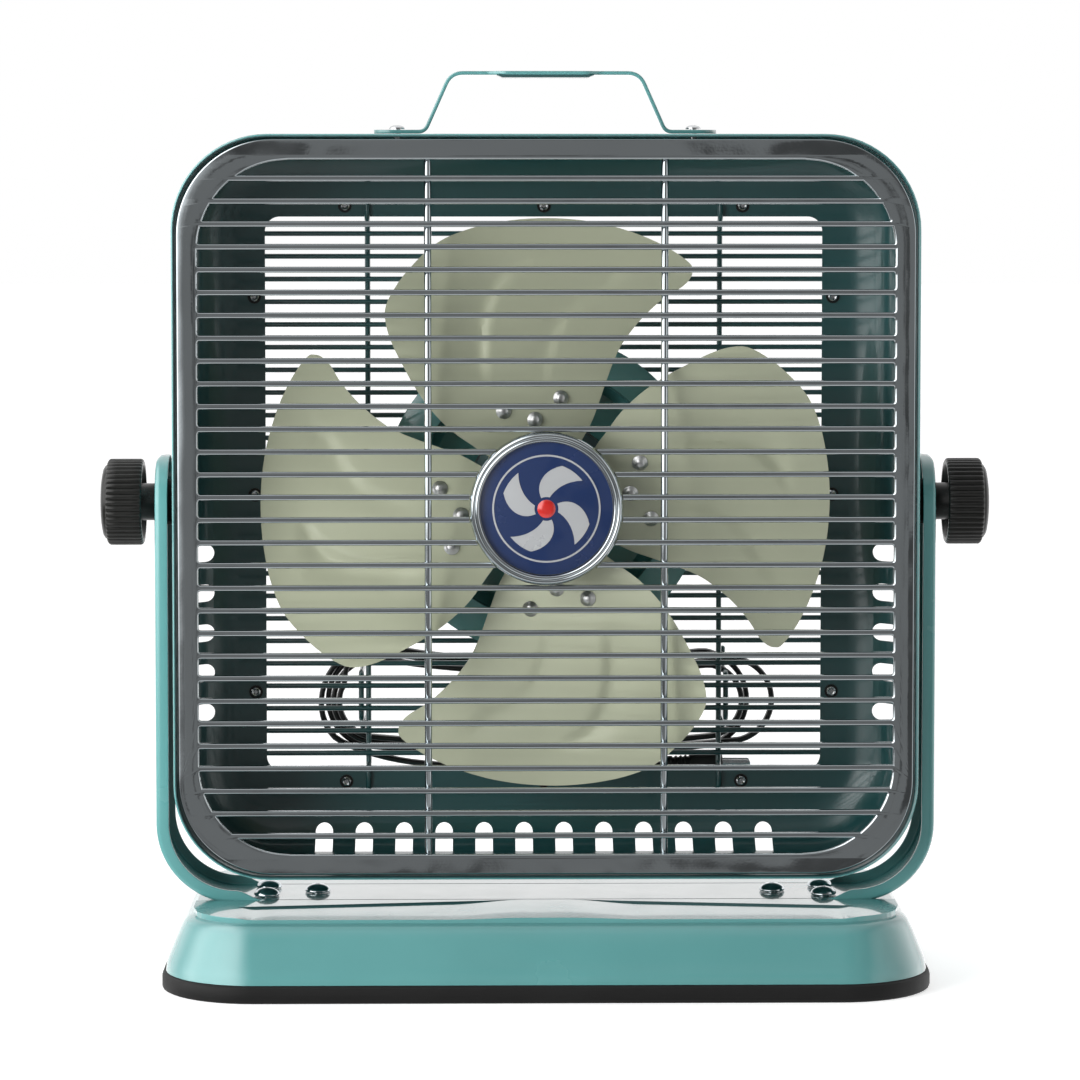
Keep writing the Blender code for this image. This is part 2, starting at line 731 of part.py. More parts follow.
def blade_mesh(name):
    columns = 6
    bm = bmesh.new()
    rows = []
    for radius, left, right in blade_edges():
        row = []
        for column in range(columns + 1):
            angle = math.radians(left + (right - left) * column / columns)
            x, z = radius * math.sin(angle), radius * math.cos(angle)
            row.append(bm.verts.new((x, blade_depth(x, z), z)))
        rows.append(row)
    for lower, upper in zip(rows, rows[1:]):
        for i in range(columns):
            bm.faces.new((lower[i], lower[i + 1], upper[i + 1], upper[i]))
    return mesh_from(name, bm)


def root_frame(x, z):
    """A place on the flat root and its normal, which points back."""
    normal = Vector((-BLADE_SLOPE_ROOT, 1, 0)).normalized()
    return Vector((x, BLADE_SLOPE_ROOT * x, z)), normal


def make_fan(parent):
    hub = Vector((0, FAN_Y, PIVOT_Z))
    spider = cylinders(
        "fan_spider",
        [(hub - Vector((0, 0.013, 0)), hub + Vector((0, 0.011, 0)), 0.014, 20)],
        STEEL, parent,
    )
    rivet_holes = []
    rivet = (
        (0, 0.0024), (0.0021, 0.0020), (0.0041, 0), (0.0018, 0), (0.0018, -0.0036),
        (0.0031, -0.0036), (0.0031, -0.0046), (0, -0.0046),
    )
    for number in range(BLADES):
        turn = Matrix.Rotation(math.radians(90 * number), 4, "Y")
        place = Matrix.Translation(hub) @ turn
        arm = bmesh.new()
        _, normal = root_frame(0, 0)
        tilt = math.atan(BLADE_SLOPE_ROOT)
        size = Matrix.Diagonal((0.046, ARM_THICKNESS, 0.064, 1))
        shift = Matrix.Translation(normal * ARM_OFFSET + Vector((-0.006, 0, 0.032)))
        flat = Matrix.Rotation(tilt, 4, "Z")
        bmesh.ops.create_cube(arm, size=1, matrix=place @ flat @ shift @ size)
        combine(spider, add_object(f"spider_arm_{number + 1}", mesh_from("arm", arm)), "UNION")

        blade = add_object(f"blade_{number + 1}", blade_mesh("blade"), CREAM)
        blade.matrix_world = place
        attach(blade, parent)
        solidify(blade, BLADE_THICKNESS, offset=0.0)
        own_holes = []
        for index, (x, z) in enumerate(RIVETS):
            spot, normal = root_frame(x, z)
            middle = place @ spot
            way = turn @ normal
            run = (middle - way * 0.004, middle + way * 0.006, 0.0022, 8)
            own_holes.append(run)
            seat = middle - way * (BLADE_THICKNESS / 2 + GAP)
            turned(f"rivet_{number * len(RIVETS) + index + 1}", rivet, seat, -way,
                   6, STEEL, parent)
        combine(blade, cylinders(f"blade_holes_{number + 1}", own_holes), "DIFFERENCE")
        rivet_holes += own_holes
    combine(spider, cylinders("spider_rivet_holes", rivet_holes), "DIFFERENCE")
    bore = [(hub - Vector((0, 0.03, 0)), hub + Vector((0, 0.03, 0)), BORE_RADIUS, 14)]
    combine(spider, cylinders("spider_bore", bore), "DIFFERENCE")

    ends = ((0, FAN_Y - 0.0155, PIVOT_Z), (0, STATOR_BACK + 0.0145, PIVOT_Z))
    cylinders("motor_shaft", [(*ends, SHAFT_RADIUS, 14)], STEEL, parent)
    core = ((BORE_RADIUS, 0.009), (0.0220, 0.009), (0.0220, -0.009), (BORE_RADIUS, -0.009))
    middle = (0, (STATOR_FRONT + STATOR_BACK) / 2, PIVOT_Z)
    turned("rotor_core", core, middle, (0, 1, 0), 16, IRON, parent)


# --------------------------------------------------------------------- pivot
def make_pivot(side, word, head, knob_axis):
    """The clamp on one side: a nut in the housing, a spacer, a stud and a knob."""
    way = Vector((side, 0, 0))

    def at(distance):
        return (side * distance, 0, PIVOT_Z)

    inside = HEAD_HALF - HEAD_WALL - GAP
    nut = ((BORE_RADIUS, 0), (0.0080, 0), (0.0080, -0.0065), (BORE_RADIUS, -0.0065))
    turned(f"pivot_nut_{word}", nut, at(inside), way, 12, STEEL, head)
    space = YOKE_HALF - YOKE_WALL - GAP - (HEAD_HALF + GAP)
    spacer = (
        (BORE_RADIUS, space), (SPACER_RADIUS, space), (SPACER_RADIUS, 0), (BORE_RADIUS, 0),
    )
    turned(f"pivot_spacer_{word}", spacer, at(HEAD_HALF + GAP), way, 20, RUBBER, head)
    cylinders(
        f"clamp_stud_{word}", [(at(inside - 0.005), at(KNOB_START + 0.017), 0.004, 12)],
        STEEL, knob_axis,
    )
    knob = (
        (0, 0.0292), (0.0170, 0.0292), (0.0198, 0.0280), (0.0202, 0.0262),
        (0.0220, 0.0260), (KNOB_RADIUS, 0.0250), (KNOB_RADIUS, 0.0080), (0.0218, 0.0069),
        (0.0195, 0.0069), (0.0195, 0.0105), (0.0098, 0.0105), (0.0098, 0),
        (BORE_RADIUS, 0), (BORE_RADIUS, 0.0180), (0, 0.0180),
    )
    turned(f"tilt_knob_{word}", knob, at(KNOB_START), way, 18, BLACK, knob_axis)


# ---------------------------------------------------------------------- cord
def stadium(half_length, half_height, steps=8):
    points = []
    for side in (1, -1):
        for step in range(steps + 1):
            angle = math.radians(-90 + 180 * step / steps)
            x = half_length - half_height + half_height * math.cos(angle)
            points.append((side * x, side * half_height * math.sin(angle)))
    return points


def make_cord(head):
    way = Vector((math.cos(GLAND_ANGLE), 0, math.sin(GLAND_ANGLE)))
    centre = Vector((0, GLAND_Y, PIVOT_Z))
    relief = (
        (0, 0.0340), (0.0042, 0.0340), (0.0058, 0.0120), (0.0072, 0.0120),
        (0.0072, 0.0095), (0.0057, 0.0095), (0.0057, 0), (0, 0),
    )
    turned("cord_gland", relief, centre + way * GLAND_START, way, 14, BLACK, head)

    start = centre + way * (GLAND_START + 0.034 + CORD_GAP)
    lead = (
        start, start + way * 0.012, (-0.0950, 0.0600, 0.1730), (-0.1045, 0.0655, 0.1680),
    )
    tube("cord_lead", smooth_route(lead, 3), CORD_RADIUS, 2, BLACK, head)

    outer = stadium(*HANK_HALF)
    inner = stadium(HANK_HALF[0] - HANK_THICKNESS, HANK_HALF[1] - HANK_THICKNESS)
    middle = (HANK_MIDDLE[0], HANK_Y, HANK_MIDDLE[1])
    flat_plate("cord_hank", (outer, inner), HANK_DEPTH, middle, "Y", BLACK, head)

    tail = (
        (-0.0990, 0.0670, 0.1068), (-0.0800, 0.0665, 0.1030), (-0.0400, 0.0655, 0.1000),
        (0.0050, 0.0650, 0.0990), (0.0400, 0.0650, 0.0995),
        (PLUG[0] - CORD_GAP, PLUG[1], PLUG[2]),
    )
    tube("cord_tail", smooth_route(tail, 3), CORD_RADIUS, 2, BLACK, head)

    grip = (
        (0, 0.0310), (0.0060, 0.0310), (0.0065, 0.0295), (0.0065, 0.0170),
        (0.0050, 0.0120), (0.0042, 0), (0, 0),
    )
    plug = turned("mains_plug", grip, PLUG, (1, 0, 0), 14, BLACK, head)
    x, y, z = PLUG
    pins = [
        ((x + 0.027, y + side * 0.004 - 0.00075, z - 0.003),
         (x + 0.046, y + side * 0.004 + 0.00075, z + 0.003))
        for side in (-1, 1)
    ]
    combine(plug, boxes("plug_pins", pins), "UNION")


def main():
    make_base()
    make_yoke()
    make_yoke_screws()
    head = empty("tilt_axis", (0, 0, PIVOT_Z))
    make_housing(head)
    make_front_grille(head)
    make_badge(head)
    make_handle(head)
    make_rear_guard(head)
    make_cord_hooks(head)
    make_motor_dish(head)
    make_motor(head)
    make_electrics(head)
    make_speed_knob(empty("speed_knob_axis", (0, 0.068, SWITCH_Z), head))
    make_fan(empty("fan_axis", (0, FAN_Y, PIVOT_Z), head))
    for side, word in ((-1, "left"), (1, "right")):
        knob_axis = empty(f"knob_axis_{word}", (side * KNOB_START, 0, PIVOT_Z), head)
        make_pivot(side, word, head, knob_axis)
    make_cord(head)


clear_scene()
FAN = new_collection("box_fan")
CUTTERS = new_collection("cutters")
main()
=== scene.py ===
"""Box fan: the visual model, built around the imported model's own frame.

Metres, +Z up. The fan blows towards -Y and stands on z = 0. Sizes that repeat
the CAD model's are named as they are there.
"""

import math

import bmesh
import bpy
from mathutils import Matrix, Vector


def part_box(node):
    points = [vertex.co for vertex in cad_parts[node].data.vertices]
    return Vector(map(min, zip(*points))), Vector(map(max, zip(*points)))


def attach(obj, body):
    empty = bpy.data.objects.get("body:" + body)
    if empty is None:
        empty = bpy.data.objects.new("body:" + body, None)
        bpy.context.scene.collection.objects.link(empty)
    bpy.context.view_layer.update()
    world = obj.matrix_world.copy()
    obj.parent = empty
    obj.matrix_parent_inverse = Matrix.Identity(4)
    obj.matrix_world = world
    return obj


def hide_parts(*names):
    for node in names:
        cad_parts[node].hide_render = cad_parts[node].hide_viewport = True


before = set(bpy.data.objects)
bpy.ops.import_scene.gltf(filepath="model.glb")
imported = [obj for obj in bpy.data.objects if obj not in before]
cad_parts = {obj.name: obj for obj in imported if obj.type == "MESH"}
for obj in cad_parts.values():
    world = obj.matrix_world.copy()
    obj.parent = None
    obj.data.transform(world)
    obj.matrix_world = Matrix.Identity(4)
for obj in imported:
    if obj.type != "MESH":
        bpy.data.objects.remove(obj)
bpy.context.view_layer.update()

# ---- dimensions
HOUSING_LOW, HOUSING_HIGH = (Vector(corner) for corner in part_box("housing"))
PIVOT_Z = (HOUSING_LOW.z + HOUSING_HIGH.z) / 2
HEAD_HALF = (HOUSING_HIGH.x - HOUSING_LOW.x) / 2
HEAD_FRONT = HOUSING_LOW.y
HEAD_BACK = HOUSING_HIGH.y
GAP = 0.0003  # between pieces that lie against each other
HEAD_CORNER = 0.050
HEAD_WALL = 0.0016
SHOULDER = 0.030
OPENING_HALF = 0.150
OPENING_CORNER = 0.008
VENT_WIDTH = 0.0094
VENT_PITCH = 0.0216
VENT_START = OPENING_HALF + 0.0278
VENT_END = OPENING_HALF + 0.0415
VENTS_BELOW = 12
VENTS_A_SIDE = 5
VENT_SIDE_TOP = -0.031

GRILLE_HALF = 0.1915
GRILLE_INNER = 0.1818
GRILLE_CORNER = 0.040
SLOT_REACH = 0.1806
SLOT_CORNER = 0.047
GRILLE_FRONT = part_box("front_grille")[0][1]
BARS = 30
BAR_PITCH = 0.0118
BAR_HEIGHT = 0.0031
BAR_ROUND = 0.0011
BAR_DEPTH = 0.0033
ROD_X = 0.0614
ROD_RADIUS = 0.0019
FLANGE_CORNER = 0.0497
BADGE_RADIUS = 0.040
BADGE_DISC_RADIUS = 0.0345
BADGE_LINE = (0.0272, 0.0281)
VANE_START = 0.0062
VANE_LENGTH = 0.0175
BADGE_FRONT = GRILLE_FRONT - 0.0025
BADGE_TURNED = ((0, BADGE_FRONT, PIVOT_Z), (0, -1, 0), 96)  # base, axis, steps

GUARD_WIRES = 24
GUARD_PITCH = 0.01225
GUARD_WIRE = 0.00145
GUARD_Y = HEAD_BACK + GAP + GUARD_WIRE
GUARD_ROD = 0.0015
GUARD_ROD_X = 0.095
GUARD_SIDE_X = 0.157
GUARD_ROD_Y = GUARD_Y + GUARD_WIRE + GUARD_ROD - 0.0006
DISH_RADIUS = 0.087
DISH_Y = 0.0445
DISH_DEPTH = 0.023

FAN_Y = -0.017
BLADES = 4
BLADE_THICKNESS = 0.0010
BLADE_SLOPE_ROOT = 0.27
BLADE_SLOPE_TIP = 0.19
BLADE_CAMBER = 0.006
BLADE_FLAT = 0.062
RIVETS = ((-0.0223, 0.0493), (0.0078, 0.0556), (-0.0059, 0.0445))

YOKE_HALF = 0.205
YOKE_WALL = 0.0018
YOKE_FLANGE = 0.0068
YOKE_HALF_WIDTH = 0.025
YOKE_BEND = 0.042
YOKE_TAPER = 0.014
BASE_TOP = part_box("base_shell")[1][2]
BASE_WALL = 0.0014
RIM_HALF = (0.2005, 0.095)
RIM_WIDTH = 0.011
RIM_HEIGHT = 0.009
RIM_CORNER = 0.050
STRAP_BOTTOM = BASE_TOP + GAP
PAD_HALF = (0.1840, 0.0785)
PAD_CORNER = 0.0335
CREASE_DEPTH = 0.0009
STRAP_END = 0.1632
CREASE_LINE = ((0.018, 0.0259), (0.026, 0.0270), (0.045, 0.0300), (0.080, 0.0348),
               (0.120, 0.0400), (0.160, 0.0452))  # (from the middle, reach)
SIDES = ((-1, "left"), (1, "right"))
YOKE_SCREWS = ((0.1475, -0.012), (0.1475, 0.012), (0.121, 0.0))

KNOB_START = YOKE_HALF + GAP
KNOB_RADIUS = 0.0228
HANDLE_FOOT = PIVOT_Z + HEAD_HALF + GAP
HANDLE_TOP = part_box("handle")[1][2]
HANDLE_THICKNESS = 0.002
HANDLE_SCREW_X = 0.078
SWITCH_Z = PIVOT_Z - 0.054
DIAL_Y = 0.0562
DIAL_DEPTH = 0.0280
DIAL_MARKS_RADIUS = 0.0195

GLAND_WAY = Vector((math.cos(math.radians(220)), 0, math.sin(math.radians(220))))
GLAND_CENTRE = Vector((0, 0.056, PIVOT_Z))
GLAND_START = 0.062
GLAND_LENGTH = 0.034
CORD_EXIT = GLAND_CENTRE + GLAND_WAY * (GLAND_START + GLAND_LENGTH)
HOOK_X = 0.099
HOOK_LEVELS = (0.152, 0.127)
HOOK_BACK = 0.082
PLUG = Vector((0.067, 0.065, 0.100))
CORD_WIDTH = 0.006
CORD_THICKNESS = 0.003

LENS = 140.2
LENS_SHIFT = -0.104
CAMERA_PLACE = (-0.0338, -2.221, 0.4325)
CAMERA_DOWN = 3.695  # degrees
CAMERA_TURN = -0.803  # degrees
KEY_POWER = 43
FILL_POWER = 2
FLOOR_GLOW = 0.60


# ---- camera
def make_camera():
    data = bpy.data.cameras.new("camera")
    data.lens = LENS
    data.shift_y = LENS_SHIFT
    camera = new_object("camera", data)
    camera.location = CAMERA_PLACE
    camera.rotation_euler = (math.radians(90 - CAMERA_DOWN), 0, math.radians(CAMERA_TURN))
    bpy.context.scene.camera = camera


# ---- materials
def set_inputs(node, values):
    for name, value in values.items():
        node.inputs[name].default_value = value


def surface(
    name, colour, roughness, metallic=0.0, coat=0.0, coat_roughness=0.03,
    tone=0.05, tone_scale=9.0, spread=0.04, grain=0.00004, grain_scale=700.0,
    wave=0.0, wave_scale=30.0, specular=0.5,
):
    """A finish with uneven tone, uneven gloss and a fine grain in its surface."""
    made = bpy.data.materials.new(name)
    made.use_nodes = True
    nodes, links = made.node_tree.nodes, made.node_tree.links
    shader = nodes["Principled BSDF"]
    set_inputs(shader, {"Metallic": metallic, "Coat Weight": coat,
                        "Coat Roughness": coat_roughness, "Specular IOR Level": specular})
    place = nodes.new("ShaderNodeTexCoord").outputs["Object"]

    def noise(scale, detail):
        node = nodes.new("ShaderNodeTexNoise")
        set_inputs(node, {"Scale": scale, "Detail": detail})
        links.new(place, node.inputs["Vector"])
        return node.outputs["Fac"]

    ramp = nodes.new("ShaderNodeValToRGB")
    ramp.color_ramp.elements[0].position = 0.3
    ramp.color_ramp.elements[1].position = 0.7
    ramp.color_ramp.elements[0].color = (*(c * (1 - tone) for c in colour), 1)
    ramp.color_ramp.elements[1].color = (*(min(c * (1 + tone), 1) for c in colour), 1)
    links.new(noise(tone_scale, 4.0), ramp.inputs["Fac"])
    links.new(ramp.outputs["Color"], shader.inputs["Base Color"])

    gloss = nodes.new("ShaderNodeMapRange")
    set_inputs(gloss, {"From Min": 0.3, "From Max": 0.7, "To Max": roughness + spread,
                       "To Min": max(roughness - spread, 0.01)})
    links.new(noise(tone_scale * 4, 5.0), gloss.inputs["Value"])
    links.new(gloss.outputs["Result"], shader.inputs["Roughness"])

    def bumped(strength, distance, height):
        node = nodes.new("ShaderNodeBump")
        set_inputs(node, {"Strength": strength, "Distance": distance})
        links.new(height, node.inputs["Height"])
        return node

    bump = bumped(0.6, grain, noise(grain_scale, 2.0))
    links.new(bump.outputs["Normal"], shader.inputs["Normal"])
    if wave:
        swell = bumped(1.0, wave, noise(wave_scale, 1.0))
        links.new(swell.outputs["Normal"], bump.inputs["Normal"])
        links.new(bump.outputs["Normal"], shader.inputs["Coat Normal"])
    return made


TEAL = surface("teal_enamel", (0.090, 0.270, 0.268), 0.24, coat=1.0, grain=0.00001,
               wave=0.00002, wave_scale=45.0)
# Teal painted darker as painted shade, for the housing's inside and for parts that lie in shade.
TEAL_PAINTED_SHADE = surface("teal_enamel_painted_shade", (0.013, 0.060, 0.062), 0.32, coat=0.7,
                      coat_roughness=0.08, grain=0.00002)
# Dark teal as painted shade in the base pad's crease.
CREASE_PAINTED_SHADE = surface("teal_painted_crease_shade", (0.012, 0.044, 0.046), 0.45)
CREAM = surface("cream_enamel", (0.350, 0.370, 0.268), 0.38, coat=0.15,
                coat_roughness=0.22, tone=0.04, grain=0.00003)
CHROME = surface("chrome_plate", (0.47, 0.51, 0.53), 0.07, metallic=1.0, tone=0.06,
                 tone_scale=14.0, spread=0.03, grain=0.00001, wave=0.00035, wave_scale=38.0)
STEEL = surface("zinc_steel", (0.50, 0.51, 0.52), 0.22, metallic=1.0, tone=0.10)
RIVET = surface("rivet_alloy", (0.62, 0.62, 0.62), 0.34, metallic=1.0, tone=0.10)
IRON = surface("lamination_iron", (0.16, 0.16, 0.17), 0.45, metallic=1.0, tone=0.2,
               grain=0.0001, grain_scale=1500.0)
BRONZE = surface("sintered_bronze", (0.45, 0.28, 0.12), 0.42, metallic=1.0, tone=0.12)
BLACK = surface("moulded_black", (0.006, 0.006, 0.0055), 0.32, tone=0.25, spread=0.06,
                grain=0.00006, grain_scale=1100.0, specular=0.35)
PVC = surface("cord_black", (0.010, 0.010, 0.010), 0.33, tone=0.25, spread=0.05,
              grain=0.00003)
RUBBER = surface("rim_rubber", (0.007, 0.007, 0.007), 0.58, tone=0.2, spread=0.08,
                 grain=0.0001, grain_scale=900.0, specular=0.22)
NAVY = surface("badge_navy", (0.005, 0.018, 0.072), 0.25, coat=1.0, grain=0.00001)
RED = surface("badge_red", (0.43, 0.010, 0.006), 0.25, coat=1.0, grain=0.00001)
SILVER = surface("badge_silver", (0.36, 0.37, 0.38), 0.30, metallic=0.2, tone=0.04)
TICK = surface("dial_white", (0.70, 0.70, 0.68), 0.40)


# ---- helpers
def new_object(name, data):
    obj = bpy.data.objects.new(name, data)
    bpy.context.scene.collection.objects.link(obj)
    return obj


def mesh_from(name, bm):
    bmesh.ops.recalc_face_normals(bm, faces=bm.faces)
    mesh = bpy.data.meshes.new(name)
    bm.to_mesh(mesh)
    bm.free()
    return mesh


def add_piece(name, bm, look, body, slot, replaces=(), sharp=32):
    mesh = mesh_from(name, bm)
    mesh.materials.append(look)
    mesh.shade_smooth()
    mesh.set_sharp_from_angle(angle=math.radians(sharp))
    obj = new_object(name, mesh)
    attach(obj, body)
    if replaces:
        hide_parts(*replaces)
    return obj


def cut(obj, bm, sharp):
    """Cuts the shape in bm from obj's mesh for good."""
    cutter = new_object("cutter", mesh_from("cutter", bm))
    step = obj.modifiers.new("cut", "BOOLEAN")
    step.operation = "DIFFERENCE"
    step.solver = "EXACT"
    step.object = cutter
    bpy.context.view_layer.update()
    graph = bpy.context.evaluated_depsgraph_get()
    made = bpy.data.meshes.new_from_object(obj.evaluated_get(graph))
    obj.modifiers.clear()
    obj.data = made
    made.shade_smooth()
    made.set_sharp_from_angle(angle=math.radians(sharp))
    bpy.data.objects.remove(cutter, do_unlink=True)


def skin(bm, lower, upper):
    """Faces between two closed rings. A ring of one point makes a fan."""
    count = max(len(lower), len(upper))
    for i in range(count):
        j = (i + 1) % count
        corners = (lower[i % len(lower)], lower[j % len(lower)],
                   upper[j % len(upper)], upper[i % len(upper)])
        bm.faces.new(list(dict.fromkeys(corners)))


def add_loft(bm, rings, wrap=False):
    """Skins the rings in turn. Without wrap, both end rings are capped."""
    rows = [[bm.verts.new(point) for point in ring] for ring in rings]
    for lower, upper in zip(rows, rows[1:]):
        skin(bm, lower, upper)
    if wrap:
        skin(bm, rows[-1], rows[0])
    else:
        bm.faces.new(rows[0])
        bm.faces.new(rows[-1])


def add_sheet(bm, front, back):
    """A thin solid between two grids of points."""
    grids = [[[bm.verts.new(point) for point in row] for row in grid] for grid in (front, back)]
    for grid in grids:
        for lower, upper in zip(grid, grid[1:]):
            for i in range(len(lower) - 1):
                bm.faces.new((lower[i], lower[i + 1], upper[i + 1], upper[i]))
    skin(bm, *(grid[0] + [row[-1] for row in grid[1:]] + grid[-1][-2::-1]
               + [row[0] for row in grid[-2:0:-1]] for grid in grids))


def add_turned(bm, profile, base, direction, steps, ribs=0):
    """A turned solid from (radius, height) points, or (radius, height, rib depth)."""
    axis = Vector(direction).normalized()
    side = axis.orthogonal().normalized()
    other = axis.cross(side)
    rows = []
    for radius, height, *depth in profile:
        middle = Vector(base) + axis * height
        if radius == 0:
            rows.append([bm.verts.new(middle)])
            continue
        row = []
        for step in range(steps):
            angle = 2 * math.pi * step / steps
            dip = depth[0] * (1 - abs(math.cos(ribs * angle / 2))) if depth else 0
            way = side * math.cos(angle) + other * math.sin(angle)
            row.append(bm.verts.new(middle + way * (radius - dip)))
        rows.append(row)
    for lower, upper in zip(rows, rows[1:]):
        skin(bm, lower, upper)
    if profile[0][0] > 0 and profile[-1][0] > 0:
        skin(bm, rows[-1], rows[0])


def turned_piece(name, shape, *looks, ribs=0, **more):
    """A piece turned from (profile, base, direction, steps). The rest is add_piece's."""
    bm = bmesh.new()
    add_turned(bm, *shape, ribs=ribs)
    return add_piece(name, bm, *looks, **more)


def lofted_piece(name, rings, *looks, wrap=False, **more):
    bm = bmesh.new()
    add_loft(bm, rings, wrap)
    return add_piece(name, bm, *looks, **more)


def circle(radius, sides):
    turn = 2 * math.pi / sides
    return [(radius * math.cos(i * turn), radius * math.sin(i * turn)) for i in range(sides)]


def add_sweep(bm, points, section, up, dome=0.0):
    """Sweeps a section along points. Its first axis is kept as near up as it can be."""
    points = [Vector(p) for p in points]
    stations = []
    for index, point in enumerate(points):
        before = points[max(index - 1, 0)]
        after = points[min(index + 1, len(points) - 1)]
        stations.append((point, (after - before).normalized(), 1.0))
    if dome:
        start, end = stations[0], stations[-1]
        heads, tails = [], []
        for degrees in (78, 52, 26):
            lift, scale = math.sin(math.radians(degrees)), math.cos(math.radians(degrees))
            heads.append((start[0] - start[1] * dome * lift, start[1], scale))
            tails.append((end[0] + end[1] * dome * lift, end[1], scale))
        stations = heads + stations + tails[::-1]
    rings = []
    for point, tangent, scale in stations:
        first = (Vector(up) - tangent * tangent.dot(Vector(up))).normalized()
        second = tangent.cross(first)
        rings.append([point + (first * a + second * b) * scale for a, b in section])
    add_loft(bm, rings)


def rounded(points, radius, steps=4, closed=True):
    """The polygon or path with its sharp corners rounded."""
    made = []
    count = len(points)
    for index, point in enumerate(points):
        here = Vector(point)
        if not closed and index in (0, count - 1):
            made.append(here)
            continue
        back = Vector(points[index - 1]) - here
        ahead = Vector(points[(index + 1) % count]) - here
        turn = math.pi - back.angle(ahead)
        if turn < math.radians(20):
            made.append(here)
            continue
        own = radius[index] if isinstance(radius, (tuple, list)) else radius
        reach = min(own * math.tan(turn / 2), 0.45 * back.length, 0.45 * ahead.length)
        start = here + back.normalized() * reach
        end = here + ahead.normalized() * reach
        for step in range(steps + 1):
            t = step / steps
            made.append(start * (1 - t) ** 2 + here * (2 * t * (1 - t)) + end * t * t)
    return made


def upright(points, y):
    """The (x, z) points, measured from the fan's axis, at one depth."""
    return [(x, y, PIVOT_Z + z) for x, z in points]


def on_circle(radius, degrees, y, z=PIVOT_Z):
    angle = math.radians(degrees)
    return Vector((radius * math.cos(angle), y, z + radius * math.sin(angle)))


def rounded_rect(half_x, half_y, radius, steps=12):
    points = []
    for quarter, (side_x, side_y) in enumerate(((1, 1), (-1, 1), (-1, -1), (1, -1))):
        for step in range(steps + 1):
            angle = math.radians(90 * quarter + 90 * step / steps)
            x = side_x * (half_x - radius) + radius * math.cos(angle)
            y = side_y * (half_y - radius) + radius * math.sin(angle)
            points.append((x, y))
    return points


def smooth_route(points, per_span):
    """Points on a Catmull-Rom curve through the route's own points."""
    route = [Vector(p) for p in points]
    ends = [2 * route[0] - route[1]] + route + [2 * route[-1] - route[-2]]
    made = []
    for a, b, c, d in zip(ends, ends[1:], ends[2:], ends[3:]):
        for step in range(per_span):
            t = step / per_span
            made.append(
                0.5 * (2 * b + (c - a) * t + (2 * a - 5 * b + 4 * c - d) * t * t
                       + (3 * b - a - 3 * c + d) * t ** 3)
            )
    return made + [route[-1]]


def half_width_at(half, corner, height):
    """Half the width of a rounded square at a height from its middle."""
    above = abs(height) - (half - corner)
    if above <= 0:
        return half
    return half - corner + math.sqrt(max(corner * corner - above * above, 0))


def ease(value, start, end):
    """0 before start, 1 after end, and smooth between."""
    t = min(max((value - start) / (end - start), 0), 1)
    return t * t * (3 - 2 * t)


# ---- cord
def arc_points(x, y, z, radius, first, last):
    """Eleven points on an upright arc, from one angle in degrees to the other."""
    angles = [math.radians(first + (last - first) * step / 10) for step in range(11)]
    return [(x + radius * math.cos(a), y, z + radius * math.sin(a)) for a in angles]


def turn_points(left, right, top, bottom, y, first_angle=90):
    """One turn: down the left end, along below, up the right end, to its top."""
    radius = (top - bottom) / 2
    middle = (top + bottom) / 2
    points = arc_points(radius - left, y, middle, radius, first_angle, 270)
    for step in range(1, 8):
        t = step / 8
        x = radius - left + (left + right - 2 * radius) * t
        points.append((x, y + 0.0012 * math.sin(7 * t), bottom - 0.0045 * 4 * t * (1 - t)))
    return points + arc_points(right - radius, y, middle, radius, -90, 90)


def top_run(start, end, sag):
    """Across the top from the right end to the next turn, sagging between the hooks."""
    start, end = Vector(start), Vector(end)
    points = []
    for step in range(1, 8):
        t = step / 8
        points.append(start.lerp(end, t) - Vector((0, 0, sag * 4 * t * (1 - t))))
    return points


def cord_route():
    """From inside the gland, three turns over the hooks, then below them to the plug."""
    route = [CORD_EXIT - GLAND_WAY * 0.004, CORD_EXIT, CORD_EXIT + GLAND_WAY * 0.010,
             Vector((-0.0905, 0.0575, 0.1738)), Vector((-0.1000, 0.0588, 0.1648)),
             Vector((-0.1070, 0.0600, 0.1550))]
    # (left reach, right reach, top, bottom, y) of each turn, inner to outer
    turns = ((0.1112, 0.1082, 0.1552, 0.1160, 0.0612),
             (0.1144, 0.1250, 0.1584, 0.1128, 0.0665),
             (0.1176, 0.1116, 0.1616, 0.1092, 0.0718))
    for index, (left, right, top, bottom, y) in enumerate(turns):
        first = 150 if index == 0 else 90
        points = [Vector(p) for p in turn_points(left, right, top, bottom, y, first)]
        if index:
            route += top_run(route[-1], points[0], 0.0048 + 0.0012 * index)
        route += points
    last = [Vector(p) for p in (
        (-0.0900, 0.0696, 0.1648), (-0.1030, 0.0690, 0.1618), (-0.1150, 0.0684, 0.1530),
        (-0.1208, 0.0680, 0.1400), (-0.1206, 0.0678, 0.1270), (-0.1140, 0.0676, 0.1150),
        (-0.0980, 0.0674, 0.1075), (-0.0790, 0.0670, 0.1025), (-0.0560, 0.0665, 0.0998),
        (-0.0250, 0.0660, 0.0985), (0.0100, 0.0654, 0.0985), (0.0400, 0.0651, 0.0993),
        (0.0600, 0.0650, 0.1000), (0.0720, 0.0650, 0.1000),
    )]
    route += top_run(route[-1], last[0], 0.0072)
    return smooth_route(route + last, 3)


def twin_section():
    """The outline of two cores side by side, across (width) and through (thickness)."""
    half = ((1.00, 0.0), (0.96, 0.45), (0.82, 0.80), (0.60, 0.98), (0.40, 0.99),
            (0.18, 0.88), (0.0, 0.74))
    upper = [(w, t) for w, t in half] + [(-w, t) for w, t in reversed(half[:-1])]
    outline = upper + [(w, -t) for w, t in reversed(upper[1:-1])]
    return [(w * CORD_WIDTH / 2, t * CORD_THICKNESS / 2) for w, t in outline]


